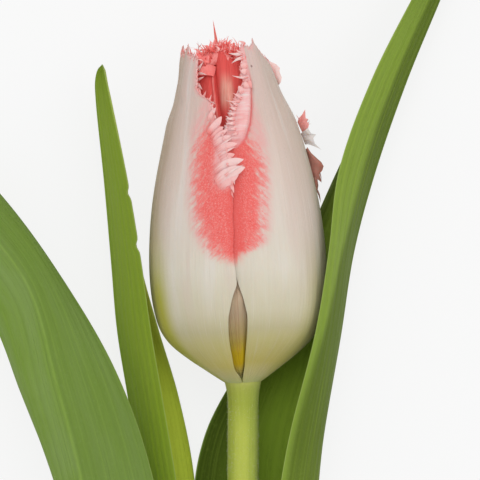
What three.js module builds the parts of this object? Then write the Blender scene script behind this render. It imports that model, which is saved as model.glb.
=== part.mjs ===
// A cut tulip with a closed, fringed bud, laid flat on a table.
// Millimetres. The stem runs along +Y to the flower, +Z is up and the table is at Z = 0.
import * as THREE from "three";
import { ParametricGeometry } from "three/addons/geometries/ParametricGeometry.js";

// Driving sizes
const budLength = 71; // receptacle to petal tips
const budRadius = 19; // widest radius of the closed bud
const budLean = 2.5; // degrees the bud leans to -X off the line of the stem
const petalThickness = 0.7;
const stemLength = 290; // cut end to receptacle
const neckRadius = 3.2; // stem just under the bud
const footRadius = 4.1; // stem at the cut end
const stemBow = 5; // how far the cut end bends off to -X
const leafThickness = 0.9;
const clearance = 0.3; // gap between pieces that touch in the flower
const stamenCount = 6;

const axisHeight = budRadius; // the widest part of the bud lies on the table
const petalPitch = petalThickness + clearance; // depth of one petal layer
const tulip = new THREE.Group();

function addNode(name, geometry, color, roughness) {
  const material = new THREE.MeshStandardMaterial({ color, roughness, metalness: 0 });
  const mesh = new THREE.Mesh(geometry, material);
  mesh.name = name;
  tulip.add(mesh);
}

// Straight-line reading of a list of [place, value] pairs.
function valueAt(pairs, place) {
  const last = pairs.length - 1;
  if (place <= pairs[0][0]) return pairs[0][1];
  if (place >= pairs[last][0]) return pairs[last][1];
  const next = pairs.findIndex((pair) => pair[0] > place);
  const [fromPlace, from] = pairs[next - 1];
  const [toPlace, to] = pairs[next];
  return THREE.MathUtils.mapLinear(place, fromPlace, toPlace, from, to);
}

// One closed body from a thin surface: along its outer face and back along its inner one.
// The thickness falls to nothing at all four edges.
function sheet(pointOn, thickness, across, along) {
  const place = (u, v, target) => {
    const outward = u <= 0.5;
    const q = outward ? 4 * u - 1 : 3 - 4 * u;
    const sideTaper = Math.min(1, 5 * (1 - Math.abs(q)));
    const endTaper = Math.min(1, 10 * v, 10 * (1 - v));
    const depth = outward ? 0 : thickness * sideTaper * endTaper;
    target.copy(pointOn(q, v, depth));
  };
  return new ParametricGeometry(place, 2 * across, along);
}

// ---------------------------------------------------------------- bud

// Outline of the closed bud from the receptacle to the tips, in bud lengths and bud radii.
const budOutline = new THREE.SplineCurve([
  [0.0, 0.205],
  [0.063, 0.57],
  [0.13, 0.84],
  [0.21, 0.96],
  [0.34, 1.0],
  [0.51, 0.95],
  [0.68, 0.82],
  [0.84, 0.64],
  [1.0, 0.44],
].map(([height, radius]) => new THREE.Vector2(height * budLength, radius * budRadius)));

// Stands a piece drawn about its own Y axis on the receptacle, along the bud's axis.
const budPlace = new THREE.Matrix4()
  .makeTranslation(0, 0, axisHeight)
  .multiply(new THREE.Matrix4().makeRotationZ(THREE.MathUtils.degToRad(budLean)));

// Point of the bud at a share of its outline, an angle from straight up (degrees, towards +X)
// and a depth in from the outline.
function budPoint(share, degrees, depth) {
  const outline = budOutline.getPoint(share);
  const tangent = budOutline.getTangent(share);
  const height = outline.x + depth * tangent.y;
  const radius = outline.y - depth * tangent.x;
  const angle = THREE.MathUtils.degToRad(degrees);
  return new THREE.Vector3(radius * Math.sin(angle), height, radius * Math.cos(angle));
}

// Each petal runs between two margins: [share of the outline, degrees from straight up].
// layer says how many petal layers deep it lies at [degrees, layers]. flare is how many
// millimetres its tip stands off the outline.
const petals = [
  {
    name: "outer_petal_left",
    outer: true,
    color: 0xeee4da,
    from: [[0, -118], [0.07, -119], [0.15, -130], [0.7, -130], [0.9, -116], [1, -105]],
    to: [
      [0, -2], [0.08, -6], [0.2, -7.5], [0.38, -6.5], [0.46, -1], [0.53, -2.5], [0.65, 0], [0.7, 2],
      [0.76, 7], [0.8, -4], [0.88, -22], [1, -44],
    ],
    layer: [[-100, 1], [-70, 0.4], [-30, 0]],
    top: 0.985,
    flare: 1.4,
  },
  {
    name: "outer_petal_right",
    outer: true,
    color: 0xf0e6dd,
    from: [
      [0, 1], [0.2, 3.7], [0.3, 3.7], [0.38, 2.7], [0.46, 0], [0.55, -6], [0.7, -8], [0.88, -2],
      [0.95, 10], [1, 18],
    ],
    to: [[0, 118], [0.07, 119], [0.15, 130], [0.7, 130], [0.9, 110], [1, 66]],
    layer: [[0, 1]],
    top: 1,
    flare: 0,
  },
  {
    name: "outer_petal_back",
    outer: true,
    color: 0xe9d9cf,
    from: [[0, 122], [0.07, 121], [0.15, 104], [0.4, 97], [0.75, 97], [0.9, 104], [1, 120]],
    to: [[0, 238], [0.07, 239], [0.15, 254], [0.4, 263], [0.75, 258], [0.9, 248], [1, 232]],
    layer: [[0, 0]],
    top: 0.97,
    flare: 0.6,
  },
  {
    name: "inner_petal_front",
    outer: false,
    color: 0xdb5c58,
    from: [[0, -57], [0.8, -57], [1, -48]],
    to: [[0, 57], [0.8, 57], [1, 40]],
    layer: [[0, 2.1]],
    top: 0.98,
    flare: 0,
  },
  {
    name: "inner_petal_left",
    outer: false,
    color: 0xd96762,
    from: [[0, -177], [0.8, -177], [1, -160]],
    to: [[0, -63], [0.8, -63], [1, -80]],
    layer: [[0, 2.1]],
    top: 0.95,
    flare: 0,
  },
  {
    name: "inner_petal_right",
    outer: false,
    color: 0xd96762,
    from: [[0, 63], [0.8, 63], [1, 80]],
    to: [[0, 177], [0.8, 177], [1, 160]],
    layer: [[0, 2.1]],
    top: 0.95,
    flare: 0,
  },
];
const topRounding = 0.05; // share of the outline that a petal's corners lie below its middle
const footRise = 0.07; // the outer petals' feet meet edge to edge up to this share

for (const petal of petals) {
  const pointOn = (q, v, depth) => {
    const share = v * (petal.top - topRounding * q * q);
    const middle = (valueAt(petal.to, share) + valueAt(petal.from, share)) / 2;
    const half = (valueAt(petal.to, share) - valueAt(petal.from, share)) / 2;
    const degrees = middle + q * half;
    const footLayer = petal.outer ? 0 : petal.layer[0][1];
    const risen = Math.min(1, share / footRise);
    const layers = THREE.MathUtils.lerp(footLayer, valueAt(petal.layer, degrees), risen);
    const flare = petal.flare * THREE.MathUtils.smoothstep(share, 0.75, 1);
    return budPoint(share, degrees, layers * petalPitch - flare + depth);
  };
  const geometry = sheet(pointOn, petalThickness, 10, 16);
  addNode(petal.name, geometry.applyMatrix4(budPlace), petal.color, 0.55);
}

// ---------------------------------------------------------------- pistil and stamens

const coreTop = 5.5; // top of the receptacle's disc, where pistil and stamens stand
const pistilOutline = [
  [0, coreTop + clearance],
  [1.2, coreTop + clearance],
  [2.1, coreTop + 2.5],
  [2.6, coreTop + 8],
  [2.5, coreTop + 16],
  [2.0, coreTop + 20],
  [3.2, coreTop + 22.5],
  [2.6, coreTop + 24],
  [0, coreTop + 24],
];
const pistil = new THREE.LatheGeometry(
  pistilOutline.map(([radius, height]) => new THREE.Vector2(radius, height)),
  12,
);
addNode("pistil", pistil.applyMatrix4(budPlace), 0xc9cf8a, 0.5);

const filamentLength = 8;
const filamentRadius = 0.6;
const antherLength = 12;
const antherRadius = 1.3;
const stamenFoot = new THREE.Vector3(0, coreTop + clearance + 0.1, 2.8); // the one in front
const stamenLean = 9; // degrees outwards

for (let index = 0; index < stamenCount; index += 1) {
  const place = new THREE.Matrix4()
    .makeRotationY((index * 2 * Math.PI) / stamenCount)
    .multiply(new THREE.Matrix4().makeTranslation(stamenFoot))
    .multiply(new THREE.Matrix4().makeRotationX(THREE.MathUtils.degToRad(stamenLean)))
    .premultiply(budPlace);
  const filament = new THREE.CylinderGeometry(
    filamentRadius * 0.6, filamentRadius, filamentLength, 8, 1,
  );
  filament.translate(0, filamentLength / 2, 0);
  addNode("filament_" + (index + 1), filament.applyMatrix4(place), 0xe6d9a0, 0.5);
  const anther = new THREE.CapsuleGeometry(antherRadius, antherLength - 2 * antherRadius, 2, 8);
  anther.translate(0, filamentLength + clearance + antherLength / 2, 0);
  addNode("anther_" + (index + 1), anther.applyMatrix4(place), 0x4b4038, 0.8);
}

// ---------------------------------------------------------------- stem

const stemLine = new THREE.QuadraticBezierCurve3(
  new THREE.Vector3(-stemBow, -stemLength, footRadius),
  new THREE.Vector3(0, -stemLength / 2, (axisHeight + footRadius) / 2),
  new THREE.Vector3(0, 0, axisHeight),
);

// Middle of the stem level with y, carried straight on above the receptacle.
function stemCentre(y) {
  const centre = stemLine.getPoint(Math.min(1, 1 + y / stemLength));
  centre.y = y;
  return centre;
}

function stemRadius(y) {
  return THREE.MathUtils.mapLinear(y, 0, -stemLength, neckRadius, footRadius);
}

// The stem widens into the receptacle, whose core rises between the petals' feet to a small disc.
const rimRadius = 0.19 * budRadius;
const coreRadius = 0.42 * rimRadius;
const stemRings = 14;
const stemOutline = [new THREE.Vector2(0, -stemLength)];
for (let ring = 0; ring <= stemRings; ring += 1) {
  const y = -stemLength + (ring / stemRings) * (stemLength - 5);
  stemOutline.push(new THREE.Vector2(stemRadius(y), y));
}
stemOutline.push(new THREE.Vector2((neckRadius + rimRadius) / 2, -1.8));
stemOutline.push(new THREE.Vector2(rimRadius, -0.5));
stemOutline.push(new THREE.Vector2(coreRadius, coreTop - 2.5));
stemOutline.push(new THREE.Vector2(coreRadius, coreTop - 1.6));
stemOutline.push(new THREE.Vector2(rimRadius, coreTop - 0.4));
stemOutline.push(new THREE.Vector2(rimRadius, coreTop));
stemOutline.push(new THREE.Vector2(0, coreTop));

const stem = new THREE.LatheGeometry(stemOutline, 14);
const stemPoints = stem.getAttribute("position");
for (let index = 0; index < stemPoints.count; index += 1) {
  const centre = stemCentre(stemPoints.getY(index));
  stemPoints.setX(index, stemPoints.getX(index) + centre.x);
  stemPoints.setZ(index, stemPoints.getZ(index) + centre.z);
}
addNode("stem", stem, 0xa9b86a, 0.55);

// ---------------------------------------------------------------- leaves

// Each leaf is drawn by three rails: the margin that lies uppermost, the keel and the margin
// nearer the table. Its first station clasps the stem at `base`; the others follow here as
// [upper margin, keel, lower margin], each [x, y, z] in bud radii, bud lengths and bud radii
// from the stem's top and the table. fold is 0 for a round trough and 1 for a sharp V.
const leaves = [
  {
    name: "leaf_right",
    color: 0x6f8d45,
    base: -80,
    side: 1,
    fold: 0.6,
    stations: [
      [[0.16, -0.82, 1.16], [0.45, -0.82, 0.78], [-0.3, -0.82, 0.4]],
      [[0.33, -0.42, 1.29], [0.77, -0.42, 0.68], [-0.58, -0.42, 0.28]],
      [[0.48, -0.17, 1.37], [0.88, -0.17, 0.63], [-0.45, -0.17, 0.21]],
      [[0.75, 0.14, 1.5], [1.08, 0.14, 0.61], [0.19, 0.14, 0.06]],
      [[0.91, 0.39, 1.5], [1.23, 0.39, 0.58], [0.65, 0.39, 0.06]],
      [[1.04, 0.62, 1.29], [1.46, 0.62, 0.55], [1.04, 0.62, 0.07]],
      [[1.41, 0.89, 1.0], [1.81, 0.89, 0.5], [1.53, 0.89, 0.06]],
      [[1.86, 1.13, 0.71], [2.18, 1.13, 0.42], [1.95, 1.13, 0.06]],
      [[2.37, 1.37, 0.42], [2.56, 1.37, 0.29], [2.44, 1.37, 0.08]],
      [[2.82, 1.52, 0.16], [2.82, 1.52, 0.16], [2.82, 1.52, 0.16]],
    ],
  },
  {
    name: "leaf_left_narrow",
    color: 0x7d9148,
    base: -105,
    side: -1,
    fold: 0.7,
    stations: [
      [[-0.29, -1.13, 1.13], [-0.52, -1.13, 0.82], [-0.34, -1.13, 0.53]],
      [[-0.52, -0.7, 1.16], [-0.84, -0.7, 0.76], [-0.45, -0.7, 0.55]],
      [[-0.71, -0.29, 1.16], [-1.12, -0.29, 0.74], [-0.53, -0.29, 0.5]],
      [[-0.86, -0.05, 1.21], [-1.26, -0.05, 0.74], [-0.71, -0.05, 0.42]],
      [[-0.99, 0.15, 1.32], [-1.38, 0.15, 0.74], [-0.94, 0.15, 0.32]],
      [[-1.11, 0.36, 1.37], [-1.45, 0.36, 0.71], [-1.16, 0.36, 0.24]],
      [[-1.27, 0.6, 1.26], [-1.53, 0.6, 0.68], [-1.32, 0.6, 0.21]],
      [[-1.46, 0.83, 0.97], [-1.62, 0.83, 0.63], [-1.48, 0.83, 0.32]],
      [[-1.57, 0.94, 0.63], [-1.57, 0.94, 0.63], [-1.57, 0.94, 0.63]],
    ],
  },
  {
    name: "leaf_left_broad",
    color: 0x7c9450,
    base: -150,
    side: -1,
    fold: 0.35,
    stations: [
      [[-0.39, -1.62, 1.11], [-0.74, -1.62, 0.76], [-0.45, -1.62, 0.34]],
      [[-0.61, -1.13, 1.21], [-1.13, -1.13, 1.03], [-1.05, -1.13, 0.39]],
      [[-0.75, -0.7, 1.29], [-1.5, -0.7, 1.26], [-1.68, -0.7, 0.63]],
      [[-0.97, -0.29, 1.29], [-1.76, -0.29, 1.37], [-2.1, -0.29, 0.89]],
      [[-1.39, 0.03, 1.24], [-2.04, 0, 1.34], [-2.46, -0.03, 0.92]],
      [[-2.06, 0.33, 1.08], [-2.35, 0.28, 1.21], [-2.79, 0.18, 0.79]],
      [[-2.68, 0.55, 0.82], [-2.92, 0.48, 0.92], [-3.37, 0.37, 0.5]],
      [[-3.47, 0.76, 0.42], [-3.63, 0.7, 0.5], [-3.92, 0.61, 0.24]],
      [[-4.53, 0.93, 0.05], [-4.53, 0.93, 0.05], [-4.53, 0.93, 0.05]],
    ],
  },
];
const claspAngle = 95; // degrees each half of a leaf's foot reaches round the stem from the keel

// The leaf's foot: upper margin, keel and lower margin round the stem.
function claspStation(base, side) {
  const centre = stemCentre(base);
  const radius = stemRadius(base) + clearance + leafThickness;
  return [claspAngle, 0, -claspAngle].map((degrees) => {
    const angle = THREE.MathUtils.degToRad(degrees);
    const reach = new THREE.Vector3(side * Math.cos(angle), 0, Math.sin(angle));
    return reach.multiplyScalar(radius).add(centre);
  });
}

for (const leaf of leaves) {
  const stations = [
    claspStation(leaf.base, leaf.side),
    ...leaf.stations.map((station) => station.map(([x, y, z]) =>
      new THREE.Vector3(x * budRadius, y * budLength, z * budRadius))),
  ];
  const rails = [0, 1, 2].map((rail) =>
    new THREE.CatmullRomCurve3(stations.map((station) => station[rail])));

  // q runs from the upper margin through the keel to the lower one, the other way on the left,
  // so that the keel's side is always the outer face.
  const surface = (q, v) => {
    const [upper, keel, lower] = rails.map((rail) => rail.getPoint(v));
    const turned = leaf.side * q;
    const swing = THREE.MathUtils.lerp(Math.sin((turned * Math.PI) / 2), turned, leaf.fold);
    const rise = THREE.MathUtils.lerp(1 - Math.cos((q * Math.PI) / 2), Math.abs(q), leaf.fold);
    const middle = upper.clone().add(lower).multiplyScalar(0.5);
    const halfSpan = lower.clone().sub(upper).multiplyScalar(0.5);
    return keel
      .clone()
      .addScaledVector(halfSpan, swing)
      .addScaledVector(middle.sub(keel), rise);
  };
  const pointOn = (q, v, depth) => {
    const point = surface(q, v);
    if (depth === 0) return point;
    const step = 1e-3;
    const acrossLeaf = surface(q + step, v).sub(surface(q - step, v));
    const alongLeaf = surface(q, Math.min(1, v + step)).sub(surface(q, Math.max(0, v - step)));
    const outward = acrossLeaf.cross(alongLeaf).normalize();
    return point.addScaledVector(outward, -depth);
  };
  addNode(leaf.name, sheet(pointOn, leafThickness, 10, 26), leaf.color, 0.5);
}

// ---------------------------------------------------------------- frame

// The origin is the middle of the footprint, on the table.
const box = new THREE.Box3().setFromObject(tulip);
const footprint = box.getCenter(new THREE.Vector3());
tulip.position.set(-footprint.x, -footprint.y, -box.min.z);

export default tulip;
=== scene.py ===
import math
import random

import bpy
import numpy as np
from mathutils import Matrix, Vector


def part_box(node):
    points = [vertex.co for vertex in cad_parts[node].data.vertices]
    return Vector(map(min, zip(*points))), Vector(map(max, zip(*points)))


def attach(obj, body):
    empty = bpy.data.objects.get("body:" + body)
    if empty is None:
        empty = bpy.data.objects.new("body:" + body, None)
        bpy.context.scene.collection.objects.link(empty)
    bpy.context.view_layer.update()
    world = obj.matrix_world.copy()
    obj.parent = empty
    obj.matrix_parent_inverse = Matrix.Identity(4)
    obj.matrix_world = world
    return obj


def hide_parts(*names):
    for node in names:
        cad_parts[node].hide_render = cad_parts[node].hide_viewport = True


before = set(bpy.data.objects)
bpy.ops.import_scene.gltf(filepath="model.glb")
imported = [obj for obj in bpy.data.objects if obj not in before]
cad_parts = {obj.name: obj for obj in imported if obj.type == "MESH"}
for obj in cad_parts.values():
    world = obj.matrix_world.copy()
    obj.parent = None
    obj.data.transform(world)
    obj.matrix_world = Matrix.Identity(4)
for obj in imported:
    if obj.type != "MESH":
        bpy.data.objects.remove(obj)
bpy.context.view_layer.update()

MM = 0.001

# ------------------------------------------------------------------ sizes, in millimetres

BUD_LENGTH = 71.0
BUD_RADIUS = 19.0
BUD_LEAN = math.radians(2.5)
LEAN_COS, LEAN_SIN = math.cos(BUD_LEAN), math.sin(BUD_LEAN)
PETAL_THICKNESS = 0.7
PETAL_PITCH = 1.0
STEM_LENGTH = 290.0
NECK_RADIUS = 3.2
FOOT_RADIUS = 4.1
STEM_BOW = 5.0
LEAF_THICKNESS = 0.9
CLEARANCE = 0.3
CORE_TOP = 5.5
RIM_RADIUS = 0.19 * BUD_RADIUS
FOOT_RISE = 0.112  # share of the outline over which a petal leaves the receptacle
INNER_LAYER = 2.1  # depth of the inner petals, in layers

# Colour ramps along the bud end at this height, and curves hold at most this many degrees.
RAMP_TOP = 72.0
MOST_DEGREES = 40.0

# The receptacle is found from the flat disc at the stem's top end.
stem_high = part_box("stem")[1]
disc = [v.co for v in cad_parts["stem"].data.vertices if v.co.y > stem_high.y - 1e-5]
RECEPTACLE = np.array([
    (min(c.x for c in disc) + max(c.x for c in disc)) / 2 / MM,
    stem_high.y / MM - CORE_TOP,
    (min(c.z for c in disc) + max(c.z for c in disc)) / 2 / MM,
])


# ------------------------------------------------------------------ shader maths

class Value:
    """A socket in a finish. Arithmetic on it adds Math nodes."""

    def __init__(self, finish, socket):
        self.finish = finish
        self.socket = socket

    def math(self, operation, first, second=0.0):
        return self.finish.node("ShaderNodeMath", {"operation": operation}, {0: first, 1: second})

    def rise(self, low, high):
        """0 below low, 1 above high, eased between; low may be the larger."""
        settings = {"interpolation_type": "SMOOTHSTEP"}
        inputs = {"Value": self, "From Min": low, "From Max": high}
        return self.finish.node("ShaderNodeMapRange", settings, inputs)

    def __add__(self, other):
        return self.math("ADD", self, other)

    def __sub__(self, other):
        return self.math("SUBTRACT", self, other)

    def __mul__(self, other):
        return self.math("MULTIPLY", self, other)

    def __truediv__(self, other):
        return self.math("DIVIDE", self, other)

    def __rsub__(self, other):
        return self.math("SUBTRACT", other, self)

    def __abs__(self):
        return self.math("ABSOLUTE", self)


class Finish:
    """One material. node() adds any node, and feed() joins a value to the shader."""

    def __init__(self, name, **constants):
        self.material = bpy.data.materials.new(name)
        self.material.use_nodes = True
        self.tree = self.material.node_tree
        self.shader = self.tree.nodes["Principled BSDF"]
        for socket, value in constants.items():
            self.shader.inputs[socket.replace("_", " ")].default_value = value

    def node(self, kind, settings=None, inputs=None, output=0):
        made = self.tree.nodes.new(kind)
        for key, value in (settings or {}).items():
            setattr(made, key, value)
        for key, value in (inputs or {}).items():
            if isinstance(value, Value):
                self.tree.links.new(value.socket, made.inputs[key])
            else:
                made.inputs[key].default_value = value
        return Value(self, made.outputs[output])

    def facts(self, *names):
        """The named numbers that the mesh keeps per vertex."""
        return [self.node("ShaderNodeAttribute", {"attribute_name": name}, output="Fac") for name in names]

    def inner_face(self):
        """1 on the second half of a folded sheet's grid, which is its inner face."""
        uv = self.node("ShaderNodeUVMap", {"uv_map": "UVMap"})
        return self.node("ShaderNodeSeparateXYZ", None, {0: uv}, "X").rise(0.4999, 0.5001)

    def noise(self, scale, detail=3.0, roughness=0.5, place=None):
        """Noise over the object's own coordinates in metres, or over another place."""
        place = place or self.node("ShaderNodeTexCoord", output="Object")
        inputs = {"Vector": place, "Scale": scale, "Detail": detail, "Roughness": roughness}
        return self.node("ShaderNodeTexNoise", None, inputs)

    def grain(self, x, y, z=0.0, detail=3.0, roughness=0.5):
        """Noise stretched over coordinates worked out from the facts."""
        place = self.node("ShaderNodeCombineXYZ", None, {0: x, 1: y, 2: z})
        return self.noise(1.0, detail, roughness, place)

    def ramp(self, value, stops):
        made = self.node("ShaderNodeValToRGB", None, {0: value})
        elements = made.socket.node.color_ramp.elements
        while len(elements) < len(stops):
            elements.new(1.0)
        for element, (place, colour) in zip(elements, stops):
            element.position = place
            element.color = (*colour, 1.0)
        return made

    def up_the_bud(self, stops):
        """A colour ramp by height, its places given as shares of RAMP_TOP."""
        return self.ramp(self.facts("height")[0] / RAMP_TOP, stops)

    def curve(self, pairs):
        """Degrees by height, read off a list of (height, degrees)."""
        stops = [(height / RAMP_TOP, (degrees / MOST_DEGREES,) * 3) for height, degrees in pairs]
        return self.up_the_bud(stops) * MOST_DEGREES

    def mix(self, factor, first, second, blend="MIX"):
        first, second = (c if isinstance(c, Value) else (*c, 1.0) for c in (first, second))
        settings = {"data_type": "RGBA", "blend_type": blend}
        return self.node("ShaderNodeMix", settings, {0: factor, 6: first, 7: second}, 2)

    def coats(self, body, *coats):
        """Lays coats of (mask, colour) over the body, one after another."""
        for mask, colour in coats:
            body = self.mix(mask, body, colour)
        return body

    def feed(self, socket, value):
        self.tree.links.new(value.socket, self.shader.inputs[socket])

    def bump(self, height, distance):
        self.feed("Normal", self.node("ShaderNodeBump", None, {"Distance": distance, "Height": height}))


# ------------------------------------------------------------------ mesh helpers

def select(*pieces):
    """Selects these pieces alone; the last one is active."""
    bpy.ops.object.select_all(action="DESELECT")
    for piece in pieces:
        piece.select_set(True)
        bpy.context.view_layer.objects.active = piece


def close_and_smooth(piece, crease_degrees=50):
    """Merges the seams, turns faces outward and smooths all but the sharp edges."""
    select(piece)
    bpy.ops.object.mode_set(mode="EDIT")
    bpy.ops.mesh.select_all(action="SELECT")
    bpy.ops.mesh.remove_doubles(threshold=1e-6)
    bpy.ops.mesh.dissolve_degenerate(threshold=1e-7)
    bpy.ops.mesh.normals_make_consistent(inside=False)
    bpy.ops.object.mode_set(mode="OBJECT")
    bpy.ops.object.shade_smooth_by_angle(angle=math.radians(crease_degrees))


def keep_facts(mesh, facts):
    """Keeps named numbers per vertex for the material."""
    for name, numbers in facts.items():
        layer = mesh.attributes.new(name, "FLOAT", "POINT")
        layer.data.foreach_set("value", numbers.astype(np.float32))


def grid_piece(name, places, facts):
    """A flat grid shaped into places[row, column], in millimetres."""
    rows, columns = places.shape[:2]
    select()
    bpy.ops.mesh.primitive_grid_add(x_subdivisions=columns - 1, y_subdivisions=rows - 1, size=1)
    piece = bpy.context.object
    piece.name = name
    mesh = piece.data
    flat = np.zeros(len(mesh.vertices) * 3)
    mesh.vertices.foreach_get("co", flat)
    flat = flat.reshape(-1, 3) - piece.matrix_world.translation
    column = np.rint((flat[:, 0] + 0.5) * (columns - 1)).astype(int)
    row = np.rint((flat[:, 1] + 0.5) * (rows - 1)).astype(int)
    mesh.vertices.foreach_set("co", (places[row, column] * MM).ravel())
    keep_facts(mesh, {fact: numbers[row, column] for fact, numbers in facts.items()})
    mesh.update()
    return piece


def sheet_piece(name, outer, inner, facts):
    """The outer face followed by the inner face read backwards: one closed sheet when merged."""
    def folded(front, back):
        return np.concatenate([front, back[:, -2::-1]], axis=1)
    return grid_piece(name, folded(outer, inner), {key: folded(fact, fact) for key, fact in facts.items()})


def join_mesh(piece, name, points, faces, facts):
    """Joins a mesh, its points in millimetres, to the piece."""
    mesh = bpy.data.meshes.new(name)
    mesh.from_pydata([tuple(p) for p in np.array(points) * MM], [], faces)
    keep_facts(mesh, facts)
    mesh.uv_layers.new(name="UVMap")
    extra = bpy.data.objects.new(name, mesh)
    bpy.context.scene.collection.objects.link(extra)
    select(extra, piece)
    bpy.ops.object.join()


def unit(vectors):
    length = np.linalg.norm(vectors, axis=-1, keepdims=True)
    return vectors / np.maximum(length, 1e-9)


def face_normals(surface):
    return unit(np.cross(np.gradient(surface, axis=1), np.gradient(surface, axis=0)))


def tapers(across, along, side_share, end_share):
    """How full the thickness is: 1 in the middle, falling to 0 at the four edges."""
    side = np.clip((1 - np.abs(across)) / side_share, 0, 1)
    end = np.clip(np.minimum(along, 1 - along) / end_share, 0, 1)
    return np.sqrt(side) * np.sqrt(end)


def smoothstep(value, low, high):
    t = np.clip((value - low) / (high - low), 0, 1)
    return t * t * (3 - 2 * t)


def hill(value, low, high, edge):
    """1 between low and high, eased to 0 over an edge inside each."""
    return smoothstep(value, low, low + edge) * (1 - smoothstep(value, high - edge, high))


def waves(seed, *coordinates):
    """Smooth seeded unevenness between about -1 and 1 from a few sines of the coordinates."""
    dice = random.Random(seed)
    total = 0.0
    for _ in range(6):
        phase = dice.uniform(0, math.tau)
        inner = sum(c * dice.uniform(-1.3, 1.3) for c in coordinates)
        total = total + np.sin(inner + phase)
    return total / 4


def read(pairs, place):
    """Reads a list of (place, value) pairs, with the corners rounded."""
    places, values = zip(*pairs)
    steps = [np.interp(place + shift, places, values) for shift in (-0.5, -0.25, 0, 0.25, 0.5)]
    return sum(steps) / len(steps)


def finish_piece(piece, finish, slot, *nodes):
    piece.data.materials.clear()
    piece.data.materials.append(finish.material)
    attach(piece, "root")
    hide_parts(*nodes)


# ------------------------------------------------------------------ the bud's outline

BUD_OUTLINE = np.array([
    (0.0, 0.205), (0.063, 0.57), (0.13, 0.84), (0.21, 0.96), (0.34, 1.0),
    (0.51, 0.95), (0.68, 0.82), (0.84, 0.64), (1.0, 0.44),
]) * (BUD_LENGTH, BUD_RADIUS)


def outline_at(share):
    """Point and direction of the bud's outline, in millimetres (height, radius).
    Past 1 it runs straight on."""
    last = len(BUD_OUTLINE) - 1
    place = np.clip(share, 0, 1) * last
    start = np.minimum(np.floor(place).astype(int), last - 1)
    w = (place - start)[..., None]
    p0 = BUD_OUTLINE[np.maximum(start - 1, 0)]
    p1 = BUD_OUTLINE[start]
    p2 = BUD_OUTLINE[start + 1]
    p3 = BUD_OUTLINE[np.minimum(start + 2, last)]
    v0 = (p2 - p0) / 2
    v1 = (p3 - p1) / 2
    a = 2 * p1 - 2 * p2 + v0 + v1
    b = -3 * p1 + 3 * p2 - 2 * v0 - v1
    direction = unit(3 * a * w**2 + 2 * b * w + v0)
    past = np.maximum(np.asarray(share) - 1, 0)[..., None] * BUD_LENGTH
    return a * w**3 + b * w**2 + v0 * w + p1 + direction * past, direction


def stand(points):
    """From the bud's own axes (+Y up the bud, +Z uppermost) to the row frame."""
    x, y, z = points[..., 0], points[..., 1], points[..., 2]
    turned = np.stack([x * LEAN_COS - y * LEAN_SIN, x * LEAN_SIN + y * LEAN_COS, z], axis=-1)
    return turned + RECEPTACLE


def in_own_axes(x, y):
    """From (x, y) off the receptacle to the bud's own axes."""
    return x * LEAN_COS + y * LEAN_SIN, -x * LEAN_SIN + y * LEAN_COS


def bud_surface(share, degrees, depth):
    point, direction = outline_at(share)
    height = point[..., 0] + depth * direction[..., 1]
    radius = point[..., 1] - depth * direction[..., 0]
    angle = np.radians(degrees)
    return np.stack([radius * np.sin(angle), height, radius * np.cos(angle)], axis=-1)


# ------------------------------------------------------------------ petals

def inner_petal(start, end, top):
    """An inner petal from its margins' degrees at the foot and at the top."""
    return dict(
        start=[(0, start[0]), (53, start[0]), (71, start[1])],
        end=[(0, end[0]), (53, end[0]), (71, end[1])],
        top=top, layer=[(0, INNER_LAYER)], foot=INNER_LAYER, flare=0.0,
    )


SIDE_PETAL_TOP = [(-1, 0.9), (0, 0.95), (1, 0.9)]

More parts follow.
